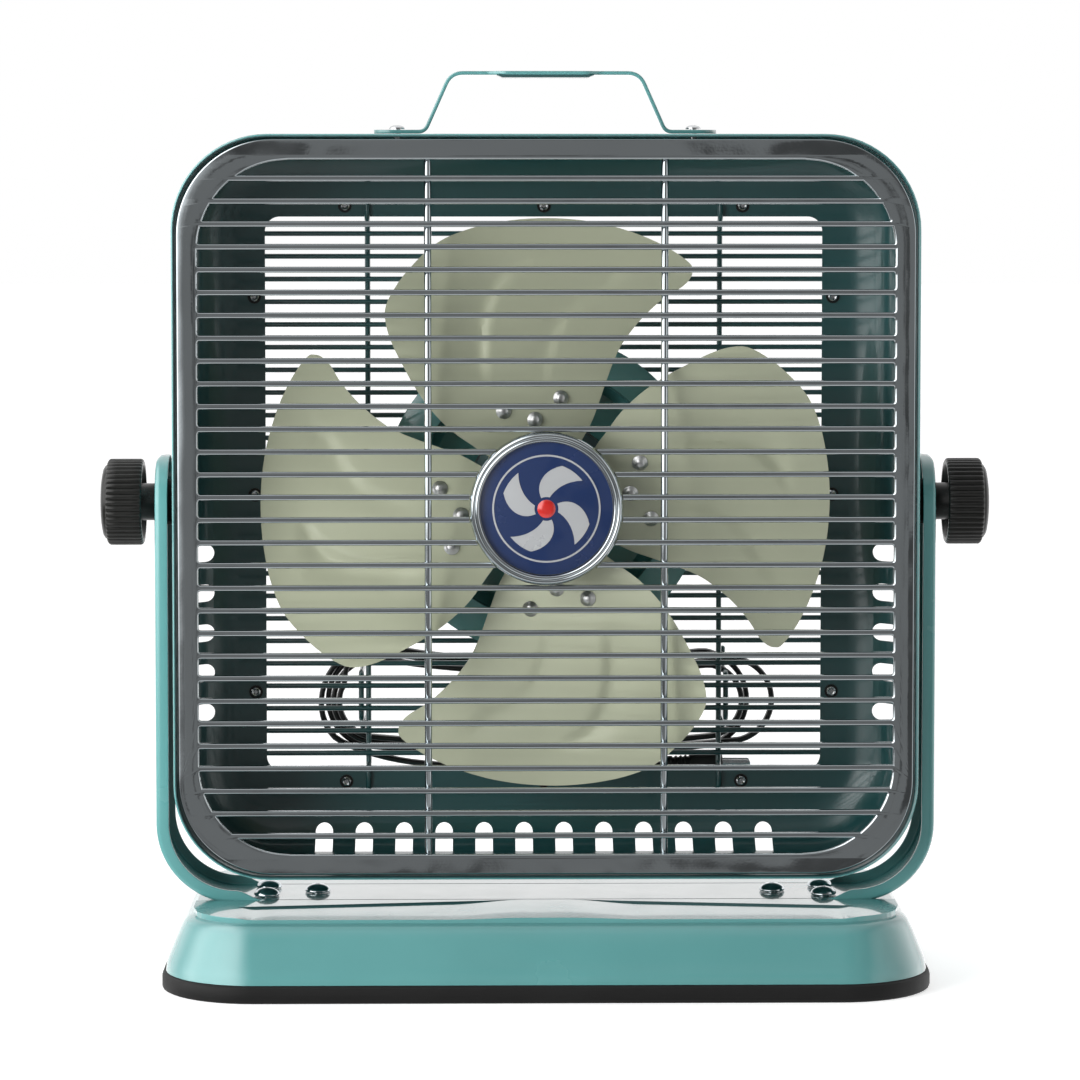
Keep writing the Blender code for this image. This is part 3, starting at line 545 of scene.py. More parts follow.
def make_gland():
    profile = [(0, GLAND_LENGTH), (0.0038, GLAND_LENGTH), (0.0042, GLAND_LENGTH - 0.0006)]
    for index in range(6):
        height = GLAND_LENGTH - 0.0020 - 0.0032 * index
        radius = 0.0043 + 0.00028 * index
        profile += [(radius, height), (radius - 0.0008, height - 0.0006),
                    (radius - 0.0007, height - 0.0012), (radius + 0.0002, height - 0.0018)]
    profile += [(0.0058, 0.0123), (0.0070, 0.0121), (0.0073, 0.0117), (0.0073, 0.0098),
                (0.0070, 0.0095), (0.0057, 0.0095), (0.0057, 0), (0, 0)]
    shape = (profile, GLAND_CENTRE + GLAND_WAY * GLAND_START, GLAND_WAY, 32)
    return turned_piece("strain_relief", shape, PVC, "head", "cord_pvc", ("cord_gland",))


def make_plug():
    """A moulded two-pin plug that lies on its side."""
    grip = [(0, 0.0), (0.0034, 0.0), (0.0044, 0.0004), (0.0047, 0.0020)]
    for index in range(4):
        height = 0.0034 + 0.0026 * index
        radius = 0.0047 + 0.00018 * index
        grip += [(radius, height), (radius - 0.0007, height + 0.0006),
                 (radius - 0.0007, height + 0.0012), (radius, height + 0.0018)]
    grip += [(0.0056, 0.0152), (0.0064, 0.0178), (0.0066, 0.0210), (0.0066, 0.0292),
             (0.0063, 0.0304), (0.0058, 0.0310), (0, 0.0310)]
    shape = (grip, PLUG, (1, 0, 0), 36)
    body = turned_piece("plug_body", shape, PVC, "head", "cord_pvc", ("mains_plug",))
    bm = bmesh.new()
    for side in (-1, 1):
        outline = rounded_rect(0.00075, 0.0031, 0.0005, 3)
        rings = []
        for reach, scale in ((0.0300, 1.0), (0.0448, 1.0), (0.0458, 0.88), (0.0462, 0.55)):
            rings.append([
                PLUG + Vector((reach, side * 0.004 + across * scale, up * scale))
                for across, up in outline
            ])
        add_loft(bm, rings)
    pins = add_piece("plug_pins", bm, STEEL, "head", "cord_pvc")
    return body, pins


def make_cord():
    route = cord_route()
    bm = bmesh.new()
    add_sweep(bm, route, twin_section(), (0, 1, 0))
    cord = add_piece("mains_cord", bm, PVC, "head", "cord_pvc",
                     ("cord_lead", "cord_hank", "cord_tail"), 60)
    gland = make_gland()
    plug, pins = make_plug()


# ---- base
def base_ring(inset, z):
    outline = rounded_rect(RIM_HALF[0] - inset, RIM_HALF[1] - inset, RIM_CORNER - inset)
    return [(x, y, z) for x, y in outline]


def make_base():
    rim_profile = ((0.0014, 0.0), (0.0004, 0.0005), (0.0, 0.0016), (0.0, 0.0066),
                   (0.0005, 0.0082), (0.0016, RIM_HEIGHT), (RIM_WIDTH - 0.0008, RIM_HEIGHT),
                   (RIM_WIDTH, RIM_HEIGHT - 0.0008), (RIM_WIDTH, 0.0008),
                   (RIM_WIDTH - 0.0008, 0.0))
    lofted_piece(
        "base_foot_rim", [base_ring(inset, z) for inset, z in rim_profile], RUBBER, "stand",
        "rubber", ("base_rim",), wrap=True,
    )

    # (inset from the rim's outer edge, height), from the skirt up to the flat top
    levels = ((0.0020, 0.0093), (0.0030, 0.0150), (0.0064, 0.0235), (0.0098, 0.0315),
              (0.0125, 0.0362), (0.0158, 0.0386), (0.0200, BASE_TOP))
    outer = smooth_route([(inset, z, 0) for inset, z in levels], 3)
    inner = [(inset + BASE_WALL, min(z, BASE_TOP - BASE_WALL)) for inset, z, _ in outer]
    profile = inner[::-1] + [(inset, z) for inset, z, _ in outer]
    lofted_piece(
        "base_cover", [base_ring(inset, z) for inset, z in profile], TEAL, "stand",
        "teal_paint", ("base_shell",), sharp=50,
    )


def crease_reach(x):
    """How far the pressed crease lies from the base's long middle line."""
    x = abs(x)
    for (x0, reach0), (x1, reach1) in zip(CREASE_LINE, CREASE_LINE[1:]):
        if x <= x1:
            return reach0 + (reach1 - reach0) * max(x - x0, 0) / (x1 - x0)
    return CREASE_LINE[-1][1]


def make_base_pad():
    """The raised pad over the yoke's strap, with a pressed step along the crease."""
    crown = STRAP_BOTTOM + YOKE_WALL + 0.0001
    low = BASE_TOP - 0.0011
    trench = STRAP_BOTTOM - 0.0004
    columns = 140
    places = [PAD_HALF[0] * (2 * column / columns - 1) for column in range(columns + 1)]
    places += [side * x for side in (-1, 1) for x in (STRAP_END, STRAP_END + 0.0006)]
    rings = []
    for x in sorted(places):
        dip = CREASE_DEPTH * ease(abs(x), 0.012, 0.050) * (1 - ease(abs(x), 0.152, 0.163))
        middle = crown if abs(x) <= STRAP_END else trench
        beyond = max(abs(x) - (PAD_HALF[0] - PAD_CORNER), 0)
        edge = PAD_HALF[1] - PAD_CORNER + math.sqrt(max(PAD_CORNER ** 2 - beyond ** 2, 0))
        line = min(crease_reach(x), edge - 0.003)
        half = ((YOKE_HALF_WIDTH + 0.0001, middle), (YOKE_HALF_WIDTH + 0.0005, crown),
                (line - 0.0001, crown), (line + 0.0001, crown - dip),
                (edge - 0.0003, crown - dip), (edge, crown - dip - 0.0003), (edge, low))
        rings.append([(x, -y, z) for y, z in reversed(half)] + [(x, y, z) for y, z in half])
    pad = lofted_piece("base_pad", rings, TEAL, "stand", "teal_paint", sharp=1.5)
    # The crease's step walls take a dark teal: painted shade in the crease.
    pad.data.materials.append(CREASE_PAINTED_SHADE)
    for face in pad.data.polygons:
        if abs(face.normal.y) > 0.5 and abs(face.center.y) < PAD_HALF[1] - 0.02:
            face.material_index = 1


# ---- yoke
def channel_ring(place, inward, half_width, flange):
    wall = YOKE_WALL
    outline = (
        (-half_width, 0), (half_width, 0), (half_width, flange),
        (half_width - wall, flange), (half_width - wall, wall),
        (wall - half_width, wall), (wall - half_width, flange), (-half_width, flange),
    )
    corners = (0.0026, 0.0026, 0.0005, 0.0005, 0.0012, 0.0012, 0.0005, 0.0005)
    return [
        (place[0] + inward[0] * depth, across, place[1] + inward[1] * depth)
        for across, depth in rounded(outline, corners, 4)
    ]


def make_yoke():
    left = []
    for step in range(15):
        angle = math.radians(86 * (1 - step / 15) ** 0.8)
        half_width = max(YOKE_HALF_WIDTH * math.cos(angle), 0.0026)
        height = PIVOT_Z + YOKE_HALF_WIDTH * math.sin(angle)
        inset = 0.0022 * ease(math.degrees(angle), 58, 86)
        left.append(((inset - YOKE_HALF, height), (1, 0), half_width, YOKE_FLANGE - inset))
    left.append(((-YOKE_HALF, PIVOT_Z), (1, 0), YOKE_HALF_WIDTH, YOKE_FLANGE))
    bend_x = YOKE_BEND - YOKE_HALF
    bend_z = YOKE_BEND + STRAP_BOTTOM
    for step in range(19):
        angle = math.radians(5 * step)
        inward = (math.cos(angle), math.sin(angle))
        place = (bend_x - YOKE_BEND * inward[0], bend_z - YOKE_BEND * inward[1])
        left.append((place, inward, YOKE_HALF_WIDTH, YOKE_FLANGE))
    lip = YOKE_WALL + 0.0001
    for step in range(1, 6):
        flange = YOKE_FLANGE + (lip - YOKE_FLANGE) * ease(step / 5, 0, 1)
        place = (bend_x + YOKE_TAPER * step / 5, STRAP_BOTTOM)
        left.append((place, (0, 1), YOKE_HALF_WIDTH, flange))
    right = [((-x, z), (-i, k), w, f) for (x, z), (i, k), w, f in reversed(left)]
    lofted_piece(
        "yoke_channel", [channel_ring(*section) for section in left + right], TEAL, "stand",
        "teal_paint", ("yoke",), sharp=40,
    )


def dome(radius, height, base, steps, degrees):
    """The profile of a domed screw head, from its top outwards."""
    angles = [math.radians(degrees * step) for step in range(steps + 1)]
    return [(radius * math.sin(a), base + height * math.cos(a)) for a in angles]


def make_yoke_screws():
    """Domed screws with a cross recess."""
    seat = STRAP_BOTTOM + YOKE_WALL + 0.0006
    head = dome(0.0068, 0.0037, 0.0003, 9, 9.4)
    head += [(0.0068, 0.0004), (0.0066, 0.0), (0.0030, 0), (0.0030, -0.0105), (0, -0.0105)]
    number = 0
    for side in (-1, 1):
        for x, y in YOKE_SCREWS:
            number += 1
            screw = turned_piece(
                f"yoke_bolt_{number}", (head, (side * x, y, seat), (0, 0, 1), 36), CHROME,
                "stand", "bright_steel", (f"yoke_screw_{number}",), 40,
            )
            cut_cross(screw, (side * x, y, seat + 0.0043), 0.0027, 0.0022)


def cut_cross(screw, middle, reach, depth):
    """Cuts a cross recess, turned a little as a driven screw's is."""
    place = Matrix.Translation(middle) @ Matrix.Rotation(math.radians(35), 4, "Z")
    arm = 0.00048
    outline = []
    for quarter in range(4):
        angle = math.radians(90 * quarter)
        for x, y in ((arm, arm), (arm, reach), (-arm, reach)):
            outline.append((x * math.cos(angle) - y * math.sin(angle),
                            x * math.sin(angle) + y * math.cos(angle)))
    bm = bmesh.new()
    add_loft(bm, [[place @ Vector((x * size, y * size, z)) for x, y in outline]
                  for z, size in ((-depth / 2, 0.45), (depth / 2, 1.0))])
    cut(screw, bm, 40)


# ---- housing
def vent_outline(x, z, way):
    """A slot that is round towards the opening and square away from it."""
    half = VENT_WIDTH / 2
    length = VENT_END - VENT_START - half
    across = Vector((-way[1], way[0]))
    way = Vector(way)
    points = [across * half + way * length, across * half]
    for step in range(1, 12):
        angle = math.radians(15 * step)
        points.append(across * half * math.cos(angle) - way * half * math.sin(angle))
    points += [-across * half, -across * half + way * length]
    return [(x + p.x, z + p.y) for p in points]


def vent_cutter():
    start = VENT_START + VENT_WIDTH / 2
    outlines = []
    for index in range(VENTS_BELOW):
        x = (index - (VENTS_BELOW - 1) / 2) * VENT_PITCH
        outlines.append(vent_outline(x, -start, (0, -1)))
    for side in (-1, 1):
        for index in range(VENTS_A_SIDE):
            z = VENT_SIDE_TOP - index * VENT_PITCH
            outlines.append(vent_outline(side * start, z, (side, 0)))
    bm = bmesh.new()
    for outline in outlines:
        add_loft(bm, [upright(outline, y)
                      for y in (HEAD_BACK - SHOULDER - 0.004, HEAD_BACK + 0.006)])
    return bm


def make_housing():
    def outline(inset, y):
        corner = max(HEAD_CORNER - inset, 0.004)
        return upright(rounded_rect(HEAD_HALF - inset, HEAD_HALF - inset, corner, 16), y)

    def opening(y):
        return upright(rounded_rect(OPENING_HALF, OPENING_HALF, OPENING_CORNER, 16), y)

    wall = HEAD_WALL
    outer = [(0.0008, HEAD_FRONT), (0.0002, HEAD_FRONT + 0.0003), (0.0, HEAD_FRONT + 0.0009),
             (0.0, 0.0)]
    inner = [(wall, 0.0), (wall, HEAD_FRONT + 0.0009), (wall - 0.0002, HEAD_FRONT + 0.0003)]
    turned_outer, turned_inner = [], []
    for step in range(13):
        angle = math.radians(7.5 * step)
        inset = SHOULDER * (1 - math.cos(angle))
        y = HEAD_BACK - SHOULDER * (1 - math.sin(angle))
        turned_outer.append((inset, y))
        turned_inner.append((inset + wall * math.cos(angle), y - wall * math.sin(angle)))
    rings = [outline(*station) for station in outer + turned_outer]
    rings += [opening(HEAD_BACK), opening(HEAD_BACK - wall)]
    rings += [outline(*station) for station in turned_inner[::-1] + inner]
    housing = lofted_piece(
        "head_housing", rings, TEAL, "head", "teal_paint", ("housing",), 38, wrap=True,
    )
    cut(housing, vent_cutter(), 38)
    # Faces inside the shell, and the rear flange's forward faces, take the teal painted darker:
    # painted shade.
    housing.data.materials.append(TEAL_PAINTED_SHADE)
    for face in housing.data.polygons:
        place, normal = face.center, face.normal
        inward = normal.x * place.x + normal.z * (place.z - PIVOT_Z) < 0
        if normal.y < -0.05 and place.y > 0 or inward and abs(normal.y) < 0.9:
            face.material_index = 1


def make_guard_screws():
    """The screws that hold the rear guard, seen inside the flange and behind it."""
    inside = HEAD_BACK - HEAD_WALL
    profile = ((0, 0.0006), (0.0010, 0.0006), (0.0013, 0.0014), (0.0019, 0.0017),
               (0.0025, 0.0013), (0.0029, 0.0), (0.0015, 0.0), (0.0015, -0.0050), (0, -0.0054))
    washer = ((0.0018, 0.0002), (0.0037, 0.0002), (0.0037, -0.0001), (0.0018, -0.0001))
    edge = OPENING_HALF + 0.0058
    heads, washers = bmesh.new(), bmesh.new()
    for along in (-0.107, 0.0, 0.107):
        for x, z in ((along, edge), (along, -edge), (edge, along), (-edge, along)):
            place = (x, inside - 0.0002, PIVOT_Z + z)
            add_turned(heads, profile, place, (0, -1, 0), 16)
            add_turned(washers, washer, place, (0, -1, 0), 16)
    add_piece("guard_screws", heads, STEEL, "head", "bright_steel")
    add_piece("guard_screw_washers", washers, BLACK, "head", "bright_steel")


# ---- front grille
def slot_outline(low, high):
    """The opening between two bars, whose ends follow the frame's inner edge."""
    grow = BAR_ROUND
    low, high = low - grow, high + grow
    reach = SLOT_REACH + grow
    corner = SLOT_CORNER + grow
    if max(abs(low), abs(high)) > reach - corner:
        shares = (0, 0.45, 0.58, 0.70, 0.80, 0.88, 0.94, 0.98, 1)
        if low + high < 0:
            shares = [1 - share for share in reversed(shares)]
    else:
        shares = (0, 0.5, 1)
    heights = [low + (high - low) * share for share in shares]
    ends = [(half_width_at(reach, corner, z), z) for z in heights]
    points = ends + [(-x, z) for x, z in reversed(ends)]
    return rounded(points, 0.0024 + grow, 5)


def make_grille():
    curve = bpy.data.curves.new("grille_outline", "CURVE")
    curve.dimensions = "2D"
    curve.fill_mode = "BOTH"
    curve.bevel_depth = BAR_ROUND
    curve.bevel_resolution = 3
    curve.extrude = BAR_DEPTH / 2 - BAR_ROUND
    corner = GRILLE_CORNER + GRILLE_HALF - GRILLE_INNER - BAR_ROUND
    half = GRILLE_HALF - BAR_ROUND
    outlines = [rounded_rect(half, half, corner, 20)]
    edges = [(index - (BARS - 1) / 2) * BAR_PITCH for index in range(BARS)]
    gaps = [(a + BAR_HEIGHT / 2, b - BAR_HEIGHT / 2) for a, b in zip(edges, edges[1:])]
    last = GRILLE_INNER - 0.001
    gaps += [(-last, edges[0] - BAR_HEIGHT / 2), (edges[-1] + BAR_HEIGHT / 2, last)]
    outlines += [slot_outline(low, high) for low, high in gaps]
    for outline in outlines:
        spline = curve.splines.new("POLY")
        spline.points.add(len(outline) - 1)
        spline.use_cyclic_u = True
        for point, place in zip(spline.points, outline):
            point.co = (place[0], place[1], 0, 1)
    flat = new_object("grille_outline", curve)
    bpy.context.view_layer.update()
    graph = bpy.context.evaluated_depsgraph_get()
    mesh = bpy.data.meshes.new_from_object(flat.evaluated_get(graph))
    bpy.data.objects.remove(flat, do_unlink=True)
    bm = bmesh.new()
    bm.from_mesh(mesh)
    bmesh.ops.remove_doubles(bm, verts=bm.verts, dist=0.000005)
    stand_up = Matrix.Translation((0, GRILLE_FRONT + BAR_DEPTH / 2, PIVOT_Z))
    bm.transform(stand_up @ Matrix.Rotation(math.radians(90), 4, "X"))
    grille = add_piece("grille_face", bm, CHROME, "head", "chrome", ("front_grille",), 50)
    bm = bmesh.new()
    hole = ((0, 0.02), (BADGE_RADIUS + 0.0003, 0.02), (BADGE_RADIUS + 0.0003, -0.02), (0, -0.02))
    add_turned(bm, hole, (0, GRILLE_FRONT, PIVOT_Z), (0, 1, 0), 72)
    cut(grille, bm, 50)

    bm = bmesh.new()
    reach = GRILLE_INNER + 0.003
    rod_y = GRILLE_FRONT + BAR_DEPTH + 0.0012
    for side in (-1, 1):
        ends = ((side * ROD_X, rod_y, PIVOT_Z - reach), (side * ROD_X, rod_y, PIVOT_Z + reach))
        add_sweep(bm, ends, circle(ROD_RADIUS, 16), (1, 0, 0), dome=0.0008)
    add_piece("grille_rods", bm, CHROME, "head", "chrome")

    rings = []
    for inset, y in ((0.0004, 0.0030), (0.0004, 0.0060), (0.0022, 0.0060), (0.0022, 0.0030)):
        half = GRILLE_HALF - inset
        outline = rounded_rect(half, half, FLANGE_CORNER - inset, 20)
        rings.append(upright(outline, GRILLE_FRONT + y))
    lofted_piece("grille_flange", rings, CHROME, "head", "chrome", wrap=True)


# ---- badge
def dome_height(radius):
    return -0.0016 - 0.0018 * (radius / BADGE_DISC_RADIUS) ** 2


def badge_point(radius, angle, lift):
    y = BADGE_FRONT - dome_height(radius) - lift
    return Vector((radius * math.sin(angle), y, PIVOT_Z + radius * math.cos(angle)))


def make_badge():
    ring = (
        (0.0349, -0.0010), (0.0351, -0.0001), (0.0357, 0.0003), (0.0364, 0.0001),
        (0.0370, -0.0004), (0.0376, 0.0002), (0.0384, 0.0001), (0.0391, -0.0006),
        (0.0397, -0.0018), (BADGE_RADIUS, -0.0035), (BADGE_RADIUS, -0.0083),
        (0.0396, -0.0085), (0.0200, -0.0085), (0.0200, -0.0065), (0.0349, -0.0065),
    )
    turned_piece(
        "badge_bezel", (ring, *BADGE_TURNED), CHROME, "head", "chrome", ("badge_ring",), 60,
    )

    profile = [(0, dome_height(0))]
    profile += [(r / 1000, dome_height(r / 1000)) for r in range(4, 35, 4)]
    profile += [(BADGE_DISC_RADIUS, dome_height(BADGE_DISC_RADIUS)),
                (BADGE_DISC_RADIUS, -0.0062), (0, -0.0062)]
    turned_piece(
        "badge_field", (profile, *BADGE_TURNED), NAVY, "head", "enamel", ("badge_disc",), 60,
    )

    bm = bmesh.new()
    for vane in range(4):
        top, low = [], []
        for step in range(13):
            t = step / 12
            radius = VANE_START + VANE_LENGTH * t
            first = math.radians(90 * vane - 26 + 46 * t ** 1.6)
            last = math.radians(90 * vane + 16 + 36 * t ** 0.9)
            angles = [first + (last - first) * column / 10 for column in range(11)]
            top.append([badge_point(radius, angle, 0.00025) for angle in angles])
            low.append([badge_point(radius, angle, 0) for angle in angles])
        add_sheet(bm, top, low)
    add_piece("badge_pinwheel", bm, SILVER, "head", "enamel")

    inner, outer = BADGE_LINE
    line = [(radius, dome_height(radius) + lift) for radius, lift in (
        (inner, 0), (inner, 0.0003), (outer, 0.0003), (outer, 0))]
    turned_piece("badge_line", (line, *BADGE_TURNED), SILVER, "head", "enamel")

    boss = [(radius, dome_height(0) + lift) for radius, lift in (
        (0, 0.0010), (0.0022, 0.0009), (0.0040, 0.0005), (0.0048, -0.0001), (0, -0.0002))]
    turned_piece(
        "badge_centre", (boss, (0, BADGE_FRONT, PIVOT_Z), (0, -1, 0), 48), RED, "head", "enamel",
    )


# ---- handle
def make_handle():
    """A bent strap on two feet, wider and rolled over at the grip."""
    grip = HANDLE_TOP - HANDLE_THICKNESS
    corners = ((-0.0900, HANDLE_FOOT), (-0.0625, HANDLE_FOOT), (-0.0488, grip),
               (0.0488, grip), (0.0625, HANDLE_FOOT), (0.0900, HANDLE_FOOT))
    bent = rounded(corners, (0, 0.0066, 0.0086, 0.0086, 0.0066, 0), 8, closed=False)
    places = []
    for a, b in zip(bent, bent[1:]):
        count = max(1, round((b - a).length / 0.003))
        places += [a.lerp(b, step / count) for step in range(count)]
    places.append(bent[-1])
    rings = []
    for index, place in enumerate(places):
        run = places[min(index + 1, len(places) - 1)] - places[max(index - 1, 0)]
        run.normalize()
        lift = Vector((-run.y, run.x))
        at_end = abs(place.x) - 0.0810
        tip = math.sqrt(max(1 - max(at_end, 0) ** 2 / 0.0090 ** 2, 0)) if at_end > 0 else 1
        width = 0.0092 + 0.0043 * (1 - ease(abs(place.x), 0.0215, 0.0290))
        width = max(width * max(tip, 0.22), 0.002)
        top = HANDLE_THICKNESS
        outline = rounded(((-width, 0), (width, 0), (width, top), (-width, top)), 0.0007, 3)
        rings.append([(place.x + lift.x * p.y, p.x, place.y + lift.y * p.y) for p in outline])
    lofted_piece("carry_handle", rings, TEAL, "head", "teal_paint", ("handle",), 40)

    rings = []
    for x in (-0.0255, -0.0245, -0.0225, 0.0225, 0.0245, 0.0255):
        drop = 0.0012 * (1 - ease(abs(x), 0.0222, 0.0256))
        rings.append([
            (x, across, z) for across, z in (
                (-0.0132, grip + 0.0002), (0.0132, grip + 0.0002),
                (0.0128, grip - drop - 0.0002), (0.0110, grip - drop - 0.0004),
                (-0.0110, grip - drop - 0.0004), (-0.0128, grip - drop - 0.0002),
            )
        ])
    # The pad under the grip takes the teal painted darker, as painted shade.
    lofted_piece("handle_grip_pad", rings, TEAL_PAINTED_SHADE, "head", "teal_paint")

    profile = dome(0.0042, 0.0020, 0.0002, 7, 12)
    profile += [(0.0042, 0.0), (0.0020, 0), (0.0020, -0.0075), (0, -0.0075)]
    seat = HANDLE_FOOT + HANDLE_THICKNESS + GAP
    for side, word in SIDES:
        x = side * HANDLE_SCREW_X
        screw = turned_piece(
            f"handle_bolt_{word}", (profile, (x, 0, seat), (0, 0, 1), 32), STEEL, "head",
            "bright_steel", (f"handle_screw_{word}",), 40,
        )
        cut_cross(screw, (x, 0, seat + 0.0025), 0.0019, 0.0018)


# ---- rear guard
def make_rear_guard():
    end_radius = DISH_RADIUS - 0.005
    bm = bmesh.new()
    wire = circle(GUARD_WIRE, 10)
    for index in range(GUARD_WIRES):
        height = (index - (GUARD_WIRES - 1) / 2) * GUARD_PITCH
        z = PIVOT_Z + height
        spans = [(-GUARD_SIDE_X, GUARD_SIDE_X)]
        if abs(height) <= end_radius - 0.004:
            stop = math.sqrt(end_radius ** 2 - height ** 2)
            spans = [(-GUARD_SIDE_X, -stop), (stop, GUARD_SIDE_X)]
        for start, end in spans:
            add_sweep(bm, ((start, GUARD_Y, z), (end, GUARD_Y, z)), wire, (0, 1, 0),
                      dome=GUARD_WIRE)
    rod = circle(GUARD_ROD, 10)
    inside = HEAD_BACK - HEAD_WALL - GUARD_ROD - 0.0002
    for side in (-1, 1):
        x = side * GUARD_ROD_X
        for way in (-1, 1):
            half = [Vector((x, GUARD_ROD_Y, PIVOT_Z)),
                    Vector((x, GUARD_ROD_Y, PIVOT_Z + way * 0.1474)),
                    Vector((x, inside, PIVOT_Z + way * 0.1490)),
                    Vector((x, inside, PIVOT_Z + way * 0.1580))]
            path = rounded(half, 0.003, 5, closed=False)
            add_sweep(bm, path, rod, (1, 0, 0), dome=GUARD_ROD)
        ends = ((side * GUARD_SIDE_X, GUARD_ROD_Y, PIVOT_Z - 0.145),
                (side * GUARD_SIDE_X, GUARD_ROD_Y, PIVOT_Z + 0.145))
        add_sweep(bm, ends, rod, (1, 0, 0), dome=GUARD_ROD)
    # The wires take the teal painted darker, as painted shade.
    add_piece("guard_wires", bm, TEAL_PAINTED_SHADE, "head", "teal_paint", ("rear_guard",), 40)


def make_cord_hooks():
    upper, lower = HOOK_LEVELS
    near = GUARD_ROD_Y + 0.0012
    for side, word in SIDES:
        x = side * HOOK_X
        corners = [Vector(p) for p in (
            (x, HOOK_BACK, upper + 0.0100), (x, HOOK_BACK, upper), (x, near, upper),
            (x, near, lower), (x, HOOK_BACK, lower), (x, HOOK_BACK, lower - 0.0100),
        )]
        bm = bmesh.new()
        path = rounded(corners, 0.0035, 6, closed=False)
        add_sweep(bm, path, circle(GUARD_ROD, 12), (1, 0, 0), dome=GUARD_ROD)
        # The pegs take the teal painted darker, as painted shade.
        add_piece(f"cord_peg_{word}", bm, TEAL_PAINTED_SHADE, "head", "teal_paint",
                  (f"cord_hook_{word}",), 50)


# ---- motor
def make_motor_dish():
    depth = DISH_DEPTH
    outer = rounded(((0.0690, 0.0015), (0.0678, depth), (0.030, depth)), 0.006, 8, closed=False)
    profile = [(0, depth - 0.0016), (0.0220, depth - 0.0016), (0.0240, depth - 0.0004)]
    profile += [(0.0262, depth)] + [tuple(p) for p in outer[-1:0:-1]]
    profile += [(0.0702, 0.0020), (0.0720, 0.0015), (DISH_RADIUS - 0.0006, 0.0015),
                (DISH_RADIUS, 0.0010), (DISH_RADIUS, 0.0002), (DISH_RADIUS - 0.0004, 0)]
    profile += [(0.0685, 0), (0.0664, depth - 0.0060), (0.0620, depth - 0.0017),
                (0, depth - 0.0018)]
    turned_piece(
        "motor_cover", (profile, (0, DISH_Y, PIVOT_Z), (0, 1, 0), 112), TEAL, "head",
        "teal_paint", ("motor_dish",), 40,
    )

    head = ((0, 0.0016), (0.0014, 0.0015), (0.0026, 0.0009), (0.0031, 0.0), (0.0015, 0),
            (0.0015, -0.004), (0, -0.004))
    bm = bmesh.new()
    # (radius, y, degrees) of the screws in the cover's rim and in its back
    for radius, y, turns in ((0.0785, DISH_Y + 0.0016, (45, 135, 225, 315)),
                             (0.046, DISH_Y + DISH_DEPTH + 0.0001, (0, 90, 180))):
        for turn in turns:
            add_turned(bm, head, on_circle(radius, turn, y), (0, 1, 0), 24)
    add_piece("cover_screws", bm, STEEL, "head", "bright_steel")


def make_speed_knob():
    back = DIAL_DEPTH
    profile = [(0, back - 0.0006), (0.0095, back - 0.0006), (0.0104, back),
               (0.0116, back - 0.0002), (0.0126, back - 0.0012, 0.0004),
               (0.0132, back - 0.0040, 0.0007), (0.0142, 0.0170, 0.0007),
               (0.0150, 0.0160), (0.0152, 0.0148), (0.0146, 0.0142), (0.0030, 0.0142),
               (0.0030, 0), (0, 0)]
    turned_piece(
        "speed_selector", (profile, (0, DIAL_Y, SWITCH_Z), (0, 1, 0), 192), BLACK,
        "speed_dial", "black_plastic", ("speed_knob",), 40, ribs=32,
    )
    outline = rounded_rect(0.0007, 0.0042, 0.0006, 3)
    top = DIAL_Y + back
    rings = [[(x, y, SWITCH_Z + 0.0062 + z) for x, z in outline]
             for y in (top - 0.0010, top - 0.0002)]
    lofted_piece("speed_pointer", rings, TICK, "speed_dial", "black_plastic")
    bm = bmesh.new()
    for mark in range(4):
        middle = on_circle(DIAL_MARKS_RADIUS, 90 + 40 * mark, DISH_Y + DISH_DEPTH, SWITCH_Z)
        add_loft(bm, [[middle + Vector((a, y, b)) for a, b in circle(0.0009, 16)]
                      for y in (-0.0004, 0.00012)])
    add_piece("dial_marks", bm, TICK, "head", "black_plastic")


# ---- fan
BLADE_EDGES = (
    (0.030, -44.0, 30.0), (0.040, -49.5, 30.0), (0.050, -50.6, 29.6),
    (0.062, -51.4, 27.8), (0.076, -50.2, 26.2), (0.090, -48.0, 25.7),
    (0.104, -45.4, 27.0), (0.117, -43.2, 28.9), (0.127, -41.0, 30.8),
    (0.134, -38.4, 32.4), (0.140, -33.2, 33.0), (0.1445, -28.0, 32.6),
    (0.1475, -24.2, 31.0), (0.1493, -20.5, 24.0), (0.1500, -15.0, 12.0),
)  # (radius, left angle, right angle) in degrees from up, for the blade that points up
CREASE_LEFT = ((-0.0330, 0.058), (-0.0335, 0.0683), (-0.0341, 0.0868), (-0.0324, 0.1020),
               (-0.0274, 0.1136), (-0.0207, 0.1220), (-0.0120, 0.1275))
CREASE_RIGHT = ((-0.0010, 0.058), (0.0003, 0.0683), (0.0037, 0.0834), (0.0094, 0.0967),
                (0.0196, 0.1052), (0.0297, 0.1100), (0.0397, 0.1190))


def blade_depth(x, z):
    """How far back the blade's middle surface lies, for the blade that points up."""
    out = min(max((z - BLADE_FLAT) / (0.150 - BLADE_FLAT), 0), 1)
    eased = out * out * (3 - 2 * out)
    slope = BLADE_SLOPE_ROOT + (BLADE_SLOPE_TIP - BLADE_SLOPE_ROOT) * eased
    bow = 1 - min(abs(x + 0.003) / 0.082, 1) ** 2
    return slope * x + BLADE_CAMBER * eased * bow


def distance_to_line(x, z, line):
    """The signed distance to a line that runs up: negative on its left."""
    best = None
    spot = Vector((x, z))
    for a, b in zip(line, line[1:]):
        a, b = Vector(a), Vector(b)
        run = b - a
        t = min(max((spot - a).dot(run) / run.length_squared, 0), 1)
        away = spot - (a + run * t)
        side = 1 if run.x * away.y - run.y * away.x < 0 else -1
        if best is None or away.length < abs(best):
            best = side * away.length
    return best


